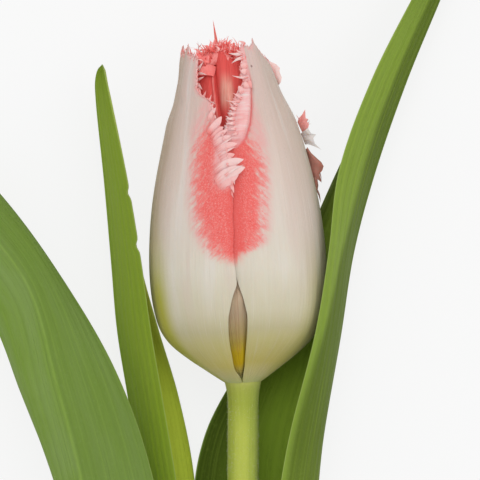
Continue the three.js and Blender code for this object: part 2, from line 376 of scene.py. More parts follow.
# The two margins as (height, degrees from straight up), the top edge as (place across, share
# of the outline), the depth in layers as (degrees, layers), and how far the top flares out.
PETALS = {
    "outer_petal_left": dict(
        start=[(0, -118), (2.4, -119), (5.4, -130), (43.5, -130), (62, -116), (71, -105)],
        end=[(0, -2.5), (1, -3.5), (2.6, -10.5), (5.7, -9.1), (10.5, -8.5), (14, -7.6), (17.9, -4.4),
             (20.8, -0.9), (27, -2.5), (36, -1.5), (43, -1), (46, -3), (49, -4), (52.5, -8), (54, -12),
             (57, -16.5), (59, -19), (59.6, -28), (61, -33), (64, -34), (67.5, -32), (71, -35)],
        top=[(-1, 0.945), (-0.7, 0.965), (-0.5, 0.99), (-0.36, 0.968), (0.2, 0.968), (0.33, 0.988),
             (0.42, 0.968), (0.7, 0.963), (0.9, 0.958), (1, 0.94)],
        layer=[(-106, 1), (-94, 0.4), (-70, 0.25), (-30, 0)], foot=0.0, flare=1.4,
    ),
    "outer_petal_right": dict(
        start=[(0, 0), (1, 0.5), (2.6, 3.8), (5.7, 4.1), (10.5, 5.1), (14, 5.3), (17.9, 2.7),
               (20.8, -0.2), (28.9, -6), (46, -8), (50, -7), (53.3, -4.4), (57, 1), (59.9, 5),
               (61.4, 11), (62.6, 15), (65.1, 13.5), (67.6, 18), (71, 15.5)],
        end=[(0, 118), (2.4, 119), (5.4, 130), (43.5, 130), (62, 110), (71, 66)],
        top=[(-1, 0.98), (-0.85, 0.99), (-0.6, 0.995), (-0.4, 0.99), (-0.2, 0.985), (0.05, 0.997),
             (0.2, 1.018), (0.3, 0.99), (0.45, 0.972), (0.7, 0.955), (1, 0.935)],
        layer=[(0, 1), (35, 1), (70, 0.3), (94, 0.3), (106, 1)], foot=0.0, flare=0.0,
    ),
    "outer_petal_back": dict(
        start=[(0, 122), (2.4, 121), (5.4, 112), (16.6, 106), (40, 106), (53, 106), (57, 112),
               (61, 116), (66, 112), (71, 118)],
        end=[(0, 238), (2.4, 239), (5.4, 250), (16.6, 254), (34, 254), (44, 250), (55, 240),
             (66, 234), (71, 232)],
        top=[(-1, 0.92), (-0.5, 0.96), (0, 0.97), (0.5, 0.96), (1, 0.92)],
        layer=[(0, 0)], foot=0.0, flare=0.6,
    ),
    "inner_petal_front": inner_petal(
        (-57, -48), (57, 40), [(-1, 0.95), (-0.6, 0.985), (-0.1, 1.0), (0.3, 0.985), (1, 0.95)]),
    "inner_petal_left": inner_petal((-177, -160), (-63, -80), SIDE_PETAL_TOP),
    "inner_petal_right": inner_petal((63, 80), (177, 160), SIDE_PETAL_TOP),
}

# The right petal's edge is folded back along this line: (height, degrees).
FOLD_LINE = [(44, -6), (48, 1), (49.5, 6), (51, 12), (54, 17.5), (57, 21), (62.6, 26), (66, 28),
             (72, 29)]


def ridge(value, middle, width):
    """1 at the middle, falling off on both sides."""
    return np.exp(-(((value - middle) / width) ** 2))


def own_shape(name, across, degrees, height):
    """How far a petal stands out of its plain layer, in millimetres."""
    lift = 0.12 * waves(len(name), degrees / 9, height / 26)
    lift += 0.02 * np.sin(degrees * 1.15) * smoothstep(height, 4, 20)
    if name == "outer_petal_left":
        lift += 0.8 * smoothstep(degrees, -18, -4) * hill(height, 38, 58, 7)
        lift -= 0.3 * smoothstep(degrees, -16, -4) * hill(height, 1, 42, 8)
        lift -= 0.45 * smoothstep(across, 0.95, 1) * hill(height, 22, 42, 4)
        lift += 0.5 * smoothstep(degrees, -48, -36) * smoothstep(height, 60, 66)
        lift -= 0.7 * smoothstep(degrees, -45, -75) * hill(height, 54, 69, 6)
    if name == "outer_petal_right":
        past = np.interp(height, *zip(*FOLD_LINE)) - degrees
        roll = smoothstep(past, 0, 5) * (1 - 0.55 * smoothstep(past, 9, 18))
        lift += (1.15 * roll - 0.45 * ridge(past, 0, 1.6)) * hill(height, 49, 65, 3)
        lift += 0.5 * smoothstep(degrees, 30, 16) * smoothstep(height, 64, 68)
        lift -= 0.3 * smoothstep(degrees, 12, 2) * hill(height, 1, 46, 8)
        lift -= 0.9 * smoothstep(degrees, 35, 70) * smoothstep(height, 54, 62)
    if name == "outer_petal_back":
        lift -= 0.75 * smoothstep(np.abs(across), 0.93, 1.0)
    if name == "inner_petal_front":
        fold = -21 + 1.2 * (64.5 - height)
        lift -= 0.9 * ridge(degrees, fold, 3.2) * smoothstep(height, 46, 53)
        lift -= 0.35 * ridge(degrees, fold - 7, 2.2) * smoothstep(height, 48, 54)
        lift += 1.1 * ridge(degrees, fold + 14, 8.0) * smoothstep(height, 50, 59)
        spread = degrees / (1 + smoothstep(height, 9, 1))
        bulge = smoothstep(spread, -17, -10) * smoothstep(spread, 5.5, -1.5)
        lift += 1.05 * bulge * hill(height, -3, 20.5, 3.5)
    return lift


def petal_grid(name, rows, columns):
    petal = PETALS[name]
    along, across = np.meshgrid(np.linspace(0, 1, rows), np.linspace(-1, 1, columns), indexing="ij")
    ragged = 1 + 0.010 * waves(3 * len(name), along * 110) * smoothstep(along, 0.5, 0.75)
    teeth = 0.006 * waves(5 * len(name), across * 26) + 0.005 * np.sin(across * 61)
    share = along * (np.interp(across, *zip(*petal["top"])) + teeth)
    height = outline_at(share)[0][..., 0]
    start, end = read(petal["start"], height), read(petal["end"], height)
    degrees = (start + end) / 2 + across * ragged * (end - start) / 2
    layer_places, layer_values = zip(*petal["layer"])
    risen = smoothstep(share, 0, FOOT_RISE)
    layers = petal["foot"] + (np.interp(degrees, layer_places, layer_values) - petal["foot"]) * risen
    depth = layers * PETAL_PITCH - petal["flare"] * smoothstep(share, 0.75, 1)
    depth = depth - own_shape(name, across, degrees, height)
    wall = PETAL_THICKNESS * tapers(across, along, 0.12, 0.06)
    outer = stand(bud_surface(share, degrees, depth))
    inner = stand(bud_surface(share, degrees, depth + wall))
    radius = outline_at(share)[0][..., 1]
    margin = np.minimum(
        (1 - np.abs(across)) * np.radians(np.abs(end - start) / 2) * radius,
        (1 - along) * BUD_LENGTH,
    )
    right = np.full(height.shape, float(name == "outer_petal_right"))
    return outer, inner, {"around": degrees, "height": height, "margin": margin, "right": right}


# ------------------------------------------------------------------ fringes

# A fringe tongue is a thin closed blade, a finger or a tooth: its width along its length,
# and its cross-section as (place across, above or below).
UP = np.array([0.0, 0.0, 1.0])
STEPS = (0.0, 0.2, 0.4, 0.6, 0.78, 0.92, 1.0)
FINGER = (0.85, 0.98, 1.0, 0.9, 0.7, 0.36, 0.07)
TOOTH = (1.0, 0.86, 0.68, 0.48, 0.29, 0.13, 0.03)
BROAD_SECTION = [(-1, 0), (-0.5, 1), (0, 1), (0.5, 1), (1, 0), (0.5, -1), (0, -1), (-0.5, -1)]
NARROW_SECTION = [(-1, 0), (0, 1), (1, 0), (0, -1)]


def tongue(root, tip, width, bend, arch, up):
    """Vertices and faces of one tongue from root to tip, bent sideways and arched upwards."""
    root, tip = np.array(root, float), np.array(tip, float)
    way = unit(tip - root)
    side = unit(np.cross(up, way))
    above = np.cross(way, side)
    points, faces = [], []
    section, blade = (BROAD_SECTION, FINGER) if width > 1.0 else (NARROW_SECTION, TOOTH)
    for step, share in zip(STEPS, blade):
        rounded = 4 * step * (1 - step)
        middle = root + (tip - root) * step + side * bend * rounded + above * arch * rounded
        half = width * share / 2
        thick = 0.12 * (1 - 0.6 * step)
        for across, face in section:
            crown = (1 - across**2) * 0.12 * half
            rise = crown + face * thick * (1 - across**2)
            points.append(middle + side * across * half + above * rise)
    count = len(section)
    faces.append(tuple(range(count)))
    for ring in range(len(STEPS) - 1):
        for corner in range(count):
            a = ring * count + corner
            b = ring * count + (corner + 1) % count
            faces.append((a, b, b + count, a + count))
    faces.append(tuple(reversed(range(len(points) - count, len(points)))))
    return points, faces


def torn_lobe(root, tips, z, bow, tone):
    """Vertices, faces and facts of a thin torn lobe, strung over ribs from root line to tips."""
    count = len(tips)
    roots = np.stack([*np.linspace(*np.array(root), count).T, np.full(count, z[0])], -1)
    tips = np.stack([*np.array(tips, float).T, np.full(count, z[1])], -1)
    turn = np.cross(roots[-1] - roots[0], tips[count // 2] - roots[0])
    if turn[2] < 0:
        roots, tips = roots[::-1], tips[::-1]
    places = np.linspace(0, count - 1, 2 * count - 1)
    root, tip = (
        np.stack([np.interp(places, np.arange(count), column) for column in ends.T], -1)
        for ends in (roots, tips)
    )
    steps = np.linspace(0, 1, 7)
    s = steps[None, :, None]
    top = root[:, None] + (tip - root)[:, None] * s + UP * bow * 4 * s * (1 - s)
    top = top + UP * 0.16 * np.sin(places * 2.3)[:, None, None] * s
    thick = 0.16 * np.minimum(1, (1 - s) * 3 + 0.25) * np.ones((len(places), 1, 1))
    points = np.concatenate([top.reshape(-1, 3), (top - UP * thick).reshape(-1, 3)])
    rows, columns = len(places), len(steps)
    under = rows * columns

    def corner(row, column, side):
        return side * under + row * columns + column

    faces = []
    for row in range(rows - 1):
        for column in range(columns - 1):
            ring = [(row, column), (row + 1, column), (row + 1, column + 1), (row, column + 1)]
            faces.append(tuple(corner(*spot, 0) for spot in ring))
            faces.append(tuple(corner(*spot, 1) for spot in reversed(ring)))
    rim = [(row, 0) for row in range(rows)]
    rim += [(rows - 1, column) for column in range(1, columns)]
    rim += [(row, columns - 1) for row in range(rows - 2, -1, -1)]
    rim += [(0, column) for column in range(columns - 2, 0, -1)]
    for first, second in zip(rim, rim[1:] + rim[:1]):
        faces.append((corner(*second, 0), corner(*first, 0), corner(*first, 1), corner(*second, 1)))
    facts = [(tone, 0.3 + 0.7 * step) for _ in range(2 * rows) for step in steps]
    return points, faces, facts


OUTLINE_STEPS = outline_at(np.linspace(0, 1, 200))[0]
FRINGE_MARGIN = 5.0  # the fringe counts as this far inside its petal's margin


def on_bud(x, y, lift):
    """The place over (x, y) from the receptacle that lies lift above the bud's plain outline."""
    own_x, own_y = in_own_axes(x, y)
    radius = np.interp(own_y, OUTLINE_STEPS[:, 0], OUTLINE_STEPS[:, 1])
    z = math.sqrt(max(radius**2 - own_x**2, 0.2))
    return RECEPTACLE + (x, y, z + lift)


def laid_tongues(rows):
    """Tongues lying on the bud: (x, y) of root and tip, width, bend, lift of root and tip, tone."""
    for x0, y0, x1, y1, width, bend, lift0, lift1, tone in rows:
        yield on_bud(x0, y0, lift0), on_bud(x1, y1, lift1), width, bend, 0.12, UP, tone


def free_tongues(rows):
    """Tongues clear of the bud: as above, with heights over the bud's axis in place of lifts."""
    for x0, y0, x1, y1, width, bend, z0, z1, tone in rows:
        root, tip = RECEPTACLE + (x0, y0, z0), RECEPTACLE + (x1, y1, z1)
        yield root, tip, width, bend, 0.15, UP, tone


def scattered_tongues(outer, seed, low, high, count, length, width, slant=0.0, curl=0.15,
                      loose=0.35, tone=(0.1, 0.35)):
    """Seeded tongues along the margin: 0 to 1 up the start side, 1 to 2 over the top and
    2 to 3 down the end side."""
    dice = random.Random(seed)
    rows, columns = outer.shape[:2]
    normals = face_normals(outer)
    for index in range(count):
        place = low + (high - low) * (index + dice.uniform(0.1, 0.9)) / count
        if place < 1:
            row, column, inward = int(place * (rows - 1)), 0, (0, 2)
        elif place <= 2:
            row, column, inward = rows - 1, int((place - 1) * (columns - 1)), (-2, 0)
        else:
            row, column, inward = int((3 - place) * (rows - 1)), columns - 1, (0, -2)
        row = min(max(row, 2), rows - 1)
        root = outer[row, column]
        out = unit(root - outer[row + inward[0], column + inward[1]])
        normal = normals[row - 2, min(max(column, 2), columns - 3)]
        side = unit(np.cross(normal, out))
        turn = slant + dice.gauss(0, loose)
        reach = dice.uniform(*length)
        broad = dice.uniform(*width)
        way = out * math.cos(turn) + side * math.sin(turn) + normal * dice.gauss(curl, 0.25)
        yield (root - out * 0.7 * broad, root + way * reach, broad, dice.gauss(0, 0.12) * reach,
               dice.gauss(0.1, 0.12) * reach, normal, dice.uniform(*tone))


LEFT_EDGE = [
    (-7.6, 56.7, -6.5, 59.8, 0.9, 0, 0, 0.5, 0.25), (-7.1, 55.4, -5.9, 58.6, 0.9, 0, 0.1, 0.6, 0.35),
    (-6.9, 54.2, -5.6, 57.1, 1.1, 0.2, 0.1, 0.6, 0.3), (-6.7, 53.3, -5.9, 55.4, 0.9, -0.2, 0.1, 0.4, 0.45),
    (-6.9, 51.6, -4.4, 55.2, 1.7, 0, 0.2, 0.9, 0.25), (-6.3, 50.6, -4.1, 53.1, 1.4, 0, 0.2, 0.9, 0.35),
    (-6.1, 49.6, -3.1, 52.6, 1.2, 0.3, 0.3, 1, 0.3), (-5.9, 49.2, -2.5, 51.2, 1.5, 0.2, 0.3, 1.1, 0.25),
    (-5.4, 48.1, -1.9, 51, 0.9, 0.2, 0.4, 1.3, 0.15), (-5.2, 47.9, -1.2, 49.6, 1.6, 0.3, 0.4, 1.3, 0.27),
    (-5, 46.8, -1.4, 48.9, 0.9, 0.2, 0.5, 1.4, 0.2), (-4.6, 46, -1.7, 47.4, 1.5, 0.2, 0.4, 1.2, 0.35),
    (-4.4, 45.2, -2.4, 46.8, 1.2, 0.2, 0.4, 1.2, 0.3),
    (-5.6, 43.6, 0.1, 46.3, 2.1, 0.5, 0.3, 1.8, 0.16), (-5.4, 41.4, 0.4, 44.7, 2.6, 0.5, 0.3, 1.7, 0.17),
    (-3.6, 42.9, 0.2, 45.2, 0.7, 0.2, 1.2, 1.9, 0.1), (-4.6, 40.3, -0.9, 43.2, 1.8, 0.2, 0.1, 0.9, 0.3),
    (-10.7, 68, -11.2, 70.4, 0.5, 0, 0, 0.1, 0.7), (-9.9, 67.6, -9.1, 68.9, 0.8, 0, 0, 0.2, 0.3),
    (-9.4, 65.1, -8.2, 66.8, 0.8, 0, 0, 0.5, 0.15), (-9.4, 64.3, -7.5, 63.9, 0.7, 0.2, 0, 0.6, 0.1),
    (-9.4, 63, -8, 63.6, 0.7, 0, 0, 0.6, 0.2), (-9.4, 62.2, -8.4, 60.9, 0.8, 0, 0.2, 0.6, 0.2),
    (-9.7, 61.7, -9.9, 59, 0.9, -0.2, 0.2, 0.5, 0.15), (-9.2, 61.3, -8.6, 59.4, 0.7, 0, 0.2, 0.5, 0.3),
    (-8.2, 59.2, -7.6, 60.7, 0.6, 0, 0, 0.4, 0.4),
]
RIGHT_EDGE = [
    (0, 68.5, -3, 68.5, 0.9, 0.2, 0, 0.3, 0.1), (0, 67.6, -2.4, 66.3, 0.8, -0.2, 0, 0.3, 0.1),
    (0, 68.2, -1.5, 69.3, 0.8, 0, 0, 0.3, 0.3), (0.8, 65.5, -0.5, 66.1, 1.3, 0, 0.1, 0.5, 0.3),
    (0.8, 64.5, -0.4, 64.9, 1.3, 0, 0.1, 0.5, 0.25), (1.1, 63.4, -2.3, 63.8, 0.7, 0.2, 0.1, 0.4, 0.15),
    (1.1, 62.8, 0, 62.8, 0.8, 0, 0.1, 0.5, 0.35), (1.5, 61.3, 1.5, 62.8, 1.1, 0.2, 0.2, 0.8, 0.45),
    (0.8, 61.1, 0.4, 62.6, 1.1, 0, 0.2, 0.7, 0.3), (0, 60.1, -0.9, 61.6, 1.1, 0, 0.2, 0.5, 0.3),
    (-0.2, 59, -2, 60.1, 0.8, 0, 0.2, 0.4, 0.3), (-0.6, 58.4, -3.6, 58.6, 0.6, 0.2, 0.2, 0.3, 0.25),
    (-1.1, 57.5, -2.5, 58.4, 0.7, 0, 0.2, 0.4, 0.3), (-1.3, 56.7, -2.8, 57.1, 0.8, 0, 0.2, 0.4, 0.2),
    (-1.5, 55.6, -3.3, 56, 0.8, 0, 0.2, 0.4, 0.2), (-1.7, 54.8, -3.6, 54.7, 0.8, 0, 0.2, 0.4, 0.15),
    (-1.7, 53.8, -3.5, 53.7, 0.8, 0, 0.2, 0.4, 0.15), (-1.5, 52.7, -3, 52.5, 0.8, 0, 0.2, 0.4, 0.25),
    (-1.1, 51.9, -2.3, 51.2, 0.8, 0, 0.2, 0.4, 0.3), (0.4, 70.3, -0.9, 71.1, 0.9, -0.2, 0, 0.2, 0.35),
]
BACK_EDGE = [
    (12, 55, 11.1, 56.2, 0.2, 0, -1, -0.3, 0.6), (12.6, 53.8, 14.3, 54.3, 0.3, -0.1, -1.6, -0.3, 0.95),
    (13, 53.4, 14, 55.1, 0.3, -0.2, -1.6, -0.3, 0.7), (15.9, 44.5, 16.5, 41.9, 0.3, 0.2, -1.6, -1.2, 0.85),
    (15.6, 40.3, 16.3, 37.6, 0.5, 0.2, -2.2, -1.8, 0.95),
]


def crown_lace(seed, count, length, width, spread):
    """Ruffles and hairs that curl every way over the front inner petal's top."""
    dice = random.Random(seed)
    for index in range(count):
        x = -9.4 + 9.1 * (index + dice.random()) / count
        low = 64.4 + 3.4 * smoothstep(x, -7.0, -4.5)
        y = dice.triangular(low, 69.8, 69.0) - 0.045 * (x + 4.8) ** 2
        turn = dice.gauss(math.radians(95), spread)
        reach = dice.uniform(*length)
        root = RECEPTACLE + (x, y, dice.uniform(5.4, 8.0))
        tip = root + np.array([math.cos(turn), math.sin(turn), dice.uniform(-0.6, 0.6)]) * reach
        up = unit(np.array([dice.gauss(0, 0.45), dice.gauss(0, 0.45), 1.0]))
        tone = dice.choice((0.3, 0.45, 0.5, 0.6, 0.65, 0.7, 0.75))
        yield root, tip, dice.uniform(*width), dice.gauss(0, 0.5), dice.gauss(0, 0.45), up, tone


# Torn lobes: the line they hang from, the (x, y) of the tips round their edge, and the heights
# of root and tip over the bud's axis.
LOBES = {
    "outer_petal_back": [
        dict(root=[(4.4, 66.9), (7.3, 62.2)], z=(-2.0, -1.0), bow=0.5, tone=0.14,
             tips=[(5.1, 67.4), (6.1, 67.2), (7.0, 66.8), (7.8, 66.0), (7.7, 65.2), (8.2, 64.0),
             (8.0, 62.9)]),
        dict(root=[(11.5, 54.6), (12.5, 52.5)], z=(-2.0, -0.6), bow=0.4, tone=0.5,
             tips=[(11.7, 55.4), (12.4, 56.1), (13.1, 57.3), (13.2, 55.4), (13.8, 55.2), (13.5, 54.7),
             (13.9, 54.1), (13.7, 53.2)]),
        dict(root=[(12.2, 52.2), (13.1, 49.9)], z=(-1.8, -0.4), bow=0.5, tone=0.02,
             tips=[(13.7, 53.4), (14.3, 52.2), (15.4, 52.0), (14.8, 51.2), (15.1, 50.1), (16.5, 48.8),
             (14.5, 49.7), (13.8, 49.9)]),
        dict(root=[(13.1, 48.7), (14.7, 40.9)], z=(-2.4, -1.2), bow=0.9, tone=0.86,
             tips=[(13.6, 49.3), (14.4, 48.1), (15.6, 47.0), (16.5, 46.2), (17.0, 45.3), (16.7, 44.4),
             (16.1, 43.7), (16.6, 41.9), (15.9, 43.3), (15.7, 42.6), (15.9, 41.3), (15.7, 40.1)]),
    ],
    "inner_petal_front": [
        dict(root=[(-8.2, 66.0), (-3.2, 66.5)], z=(7.2, 6.8), bow=0.7, tone=0.56,
             tips=[(-8.7, 67.5), (-8.0, 68.3), (-7.0, 69.4), (-6.4, 68.4), (-5.4, 70.2), (-4.7, 71.2),
             (-4.4, 69.6), (-3.6, 70.5), (-3.1, 68.9), (-2.6, 68.2)]),
        dict(root=[(-3.8, 66.5), (0.0, 67.6)], z=(6.0, 6.2), bow=0.5, tone=0.76,
             tips=[(-4.6, 71.1), (-3.7, 70.4), (-2.8, 70.4), (-1.9, 70.9), (-1.4, 70.1), (-0.6, 69.9),
             (-0.0, 69.0), (0.2, 68.2)]),
        dict(root=[(-6.0, 63.7), (-5.5, 65.8)], z=(7.4, 8.0), bow=0.5, tone=0.62,
             tips=[(-7.1, 64.1), (-9.0, 64.0), (-9.4, 64.2), (-8.8, 65.1), (-8.6, 65.7), (-8.0, 66.1),
             (-7.1, 66.3)]),
        dict(root=[(-8.6, 65.8), (-7.3, 66.9)], z=(7.2, 7.6), bow=0.5, tone=0.62,
             tips=[(-9.4, 68.0), (-9.3, 68.6), (-8.7, 68.3), (-8.6, 68.9), (-8.0, 68.0), (-7.4, 68.3)]),
    ],
}

CROWN_SPIKES = [
    (-5.3, 69.5, -6.2, 75.5, 0.8, 0, 6, 6.5, 0.78), (-8.8, 67.8, -9.4, 71.2, 0.3, 0.1, 5, 5.5, 0.9),
    (-9, 69.2, -8, 69.6, 0.25, 0, 5.2, 5.6, 0.9), (-9.1, 70, -8.5, 70.8, 0.2, 0, 5.2, 5.6, 0.9),
    (-9, 68.4, -7.6, 68.9, 0.3, 0, 5, 5.6, 0.85), (-5.4, 69.5, -4.8, 71.8, 0.4, 0, 6, 6.5, 0.7),
    (-4.7, 69.4, -4.3, 71.3, 0.5, 0, 6, 6.4, 0.6), (-4, 69, -0.9, 69.6, 2.1, 0.4, 5, 5, 0.8),
    (-2.4, 68.6, -0.4, 68.4, 1.5, 0, 5, 5, 0.8), (-2.1, 69.6, -1.7, 71.1, 0.4, 0, 5.2, 5.4, 0.75),
    (-7.4, 67.2, -7, 70.4, 0.9, 0, 5.5, 6, 0.65), (-6.3, 68, -5.9, 71.3, 0.8, 0.2, 6, 6.3, 0.6),
]

LAID = {"outer_petal_left": LEFT_EDGE, "outer_petal_right": RIGHT_EDGE}
FREE = {"outer_petal_back": BACK_EDGE, "inner_petal_front": CROWN_SPIKES}
LACE = {"inner_petal_front": [(44, 60, (1.2, 2.4), (0.6, 0.98), 1.0), (45, 170, (1.2, 3.2), (0.2, 0.5), 1.3)]}

# Seed, stretch of the margin, count, lengths, widths, and what differs from the usual.
SCATTERED = {
    "outer_petal_left": [
        (12, 1.1, 2.0, 34, (0.15, 0.4), (0.3, 0.6), dict(curl=0.0, tone=(0.3, 0.6))),
        (13, 2.0, 2.15, 28, (0.3, 0.9), (0.4, 0.8), dict(curl=0.2, tone=(0.1, 0.5))),
        (14, 2.15, 2.29, 26, (0.4, 1.3), (0.5, 0.9), dict(slant=-0.5, tone=(0.2, 0.55))),
    ],
    "outer_petal_right": [
        (22, 0.76, 0.88, 34, (0.3, 1.0), (0.4, 0.8), dict(loose=0.4, tone=(0.08, 0.35))),
        (23, 0.88, 1.0, 20, (0.15, 0.6), (0.4, 0.8), dict(tone=(0.2, 0.5))),
    ],
    "outer_petal_back": [
        (33, 0.93, 1.0, 8, (0.4, 1.0), (0.6, 1.0), dict(tone=(0.3, 0.6))),
        (34, 1.0, 2.0, 60, (0.5, 1.8), (0.6, 1.3), dict(tone=(0.1, 0.6))),
        (35, 2.0, 2.1, 10, (0.4, 1.2), (0.6, 1.0), dict(tone=(0.1, 0.5))),
    ],
    "inner_petal_front": [
        (41, 1.0, 2.0, 60, (0.8, 2.0), (0.25, 0.7), dict(curl=0.3, loose=0.7, tone=(0.4, 0.75))),
    ],
    "inner_petal_left": [
        (51, 0.88, 2.12, 80, (0.8, 2.2), (0.5, 1.4), dict(loose=0.5, tone=(0.3, 0.7))),
    ],
    "inner_petal_right": [
        (61, 0.88, 2.12, 80, (0.8, 2.2), (0.5, 1.4), dict(loose=0.5, tone=(0.3, 0.7))),
    ],
}


def fringe_tongues(name, outer):
    """All the tongues of one petal."""
    for lace in LACE.get(name, ()):
        yield from crown_lace(*lace)
    yield from laid_tongues(LAID.get(name, ()))
    yield from free_tongues(FREE.get(name, ()))
    for *numbers, changes in SCATTERED[name]:
        yield from scattered_tongues(outer, *numbers, **changes)


def add_fringe(piece, name, outer):
    """Joins the lobes and tongues to their petal, with the facts that the petal's finish reads."""
    points, faces, facts = [], [], []

    def add(own_points, own_faces, own_facts):
        faces.extend(tuple(len(points) + corner for corner in face) for face in own_faces)
        points.extend(own_points)
        facts.extend(own_facts)

    for lobe in LOBES.get(name, ()):
        own_points, own_faces, own_facts = torn_lobe(**lobe)
        add(own_points + RECEPTACLE, own_faces, own_facts)
    for *shape, tone in fringe_tongues(name, outer):
        own_points, own_faces = tongue(*shape)
        each = len(own_points) // len(STEPS)
        add(own_points, own_faces, [(tone, step) for step in STEPS for _ in range(each)])
    away = np.array(points) - RECEPTACLE
    own_x, own_y = in_own_axes(away[:, 0], away[:, 1])
    tone, step = np.array(facts).T
    join_mesh(piece, piece.name + "_fringe", points, faces, {
        "around": np.degrees(np.arctan2(own_x, away[:, 2])),
        "height": own_y,
        "margin": np.full(len(points), FRINGE_MARGIN),
        "right": np.full(len(points), float("right" in name)),
        "tone": tone,
        "fringe": step,
    })


# ------------------------------------------------------------------ petal finishes

PINK = (0.80, 0.30, 0.28)
CORAL = (0.785, 0.105, 0.092)
CREASE_SHADE_CORAL = (0.52, 0.030, 0.024)
# Pale streaks, partly a painted sheen on the petals.
PALE_STREAK_AND_SHEEN = (0.70, 0.66, 0.63)
TAN_PINK = (0.60, 0.47, 0.41)
OLIVE = (0.36, 0.345, 0.0)
TONGUE_TONES = [
    (0.0, (0.68, 0.64, 0.62)), (0.1, (0.86, 0.62, 0.59)), (0.25, (0.87, 0.50, 0.48)),
    (0.5, (0.84, 0.31, 0.29)), (0.7, (0.80, 0.13, 0.115)), (0.85, (0.38, 0.18, 0.14)),
    (1.0, (0.22, 0.10, 0.07)),
]


FLAME_LEFT = [
    (0, 0), (23.5, 0), (24.5, 4.8), (26, 14.4), (28.5, 20.8), (32, 26.4), (38, 30.4), (44, 32), (53, 32.8),
    (57, 28), (61, 16.8), (65, 4.8), (72, 0),
]
FLAME_RIGHT = [
    (0, 0), (25.5, 0), (27, 5.6), (28.5, 16.8), (32, 20.8), (38, 23.2), (43, 25.6), (50, 28.8), (55, 26.4),
    (60, 20), (65, 8.8), (72, 0),
]
FOLD_COLOUR_LINE = [
    (0, 0), (48, 0.8), (49.5, 6), (51, 12), (54, 17.5), (57, 21), (62.6, 26), (66, 26.4), (72, 24),
]


def soft_tissue(name, glow, **changes):
    """Thin tissue that light sinks into, with a faint silky sheen."""
    constants = dict(Roughness=0.5, IOR=1.4, Subsurface_Weight=0.12, Subsurface_Scale=0.001,
                     Subsurface_Radius=glow, Sheen_Weight=0.22, Sheen_Roughness=0.5,
                     Sheen_Tint=(1.0, 0.93, 0.82, 1.0), Specular_IOR_Level=0.2)
    return Finish(name, **{**constants, **changes})


def tongue_colour(finish, body):
    """Lays the tongues' colour over the body's, from the root on."""
    tone, step = finish.facts("tone", "fringe")
    grain = finish.noise(2400.0, 2.0)
    colour = finish.ramp(tone + (grain - 0.5) * 0.12 - step * 0.04, TONGUE_TONES)
    return finish.mix(step.rise(0.02, 0.4) * 0.95, body, colour)


def feathers(finish, along, aslant, place, detail=3.0, roughness=0.6):
    """Noise combed up and outwards on both sides of the seam."""
    around, height = finish.facts("around", "height")
    out = abs(around) * 0.31
    side = around.rise(0.6, -0.6) * 13.0
    return finish.grain((out + height) * along, (out - height) * aslant, side + place, detail, roughness)


def lay_flame(finish, body, outside):
    """A feathered coral flame on both sides of the seam, painted shade in a dark red line along the seam, and
    a dark spot higher up.
    """
    around, height = finish.facts("around", "height")
    aside = abs(around)
    left = around.rise(0.6, -0.6)
    barbs = feathers(finish, 2.9, 0.7, 0.0, roughness=0.7)
    wisps = feathers(finish, 0.75, 0.22, 5.0)
    specks = feathers(finish, 3.6, 1.6, 9.0, 2.0, 0.5)
    spot = (abs(around - 31.0) * 0.17 + abs(height - 66.1)).rise(0.42, 0.2)
    past_reach = aside - (finish.curve(FLAME_LEFT) * left + finish.curve(FLAME_RIGHT) * (1 - left))
    front = aside.rise(60.0, 50.0) * outside
    haze = past_reach.rise(8.0, -3.0) * front * height.rise(24.0, 30.0)
    strength = past_reach * -0.10 - (height - left * 3.5).rise(44.5, 53.0) * 1.2
    strength = strength + (wisps - 0.5) * 2.6 + (barbs - 0.5) * 2.2 + (specks - 0.5) * 1.6
    strength = strength.rise(-0.35, 1.15) * front * height.rise(23.0, 27.5) * past_reach.rise(8.0, -2.0)
    flame = finish.coats(
        finish.mix(specks.rise(0.66, 0.46), (0.80, 0.24, 0.22), CORAL),
        (barbs.rise(0.56, 0.74) * 0.5, (0.84, 0.36, 0.34)),
        (barbs.rise(0.47, 0.30) * 0.85, (0.66, 0.055, 0.045)),
    )
    # Painted shade: a dark red line along the seam where the left petal's margin overlaps the right one.
    seam = (aside - 2.0).rise(5.0, 0.0) * height.rise(24.0, 29.0) * height.rise(48.0, 40.0)
    return finish.coats(
        body,
        (spot * 0.8, (0.20, 0.10, 0.09)),
        (haze * wisps.rise(0.2, 0.6) * 0.85, (0.72, 0.38, 0.36)),
        (strength * 0.95, flame),
        (seam * 0.55 * outside, (0.72, 0.085, 0.075)),
    )


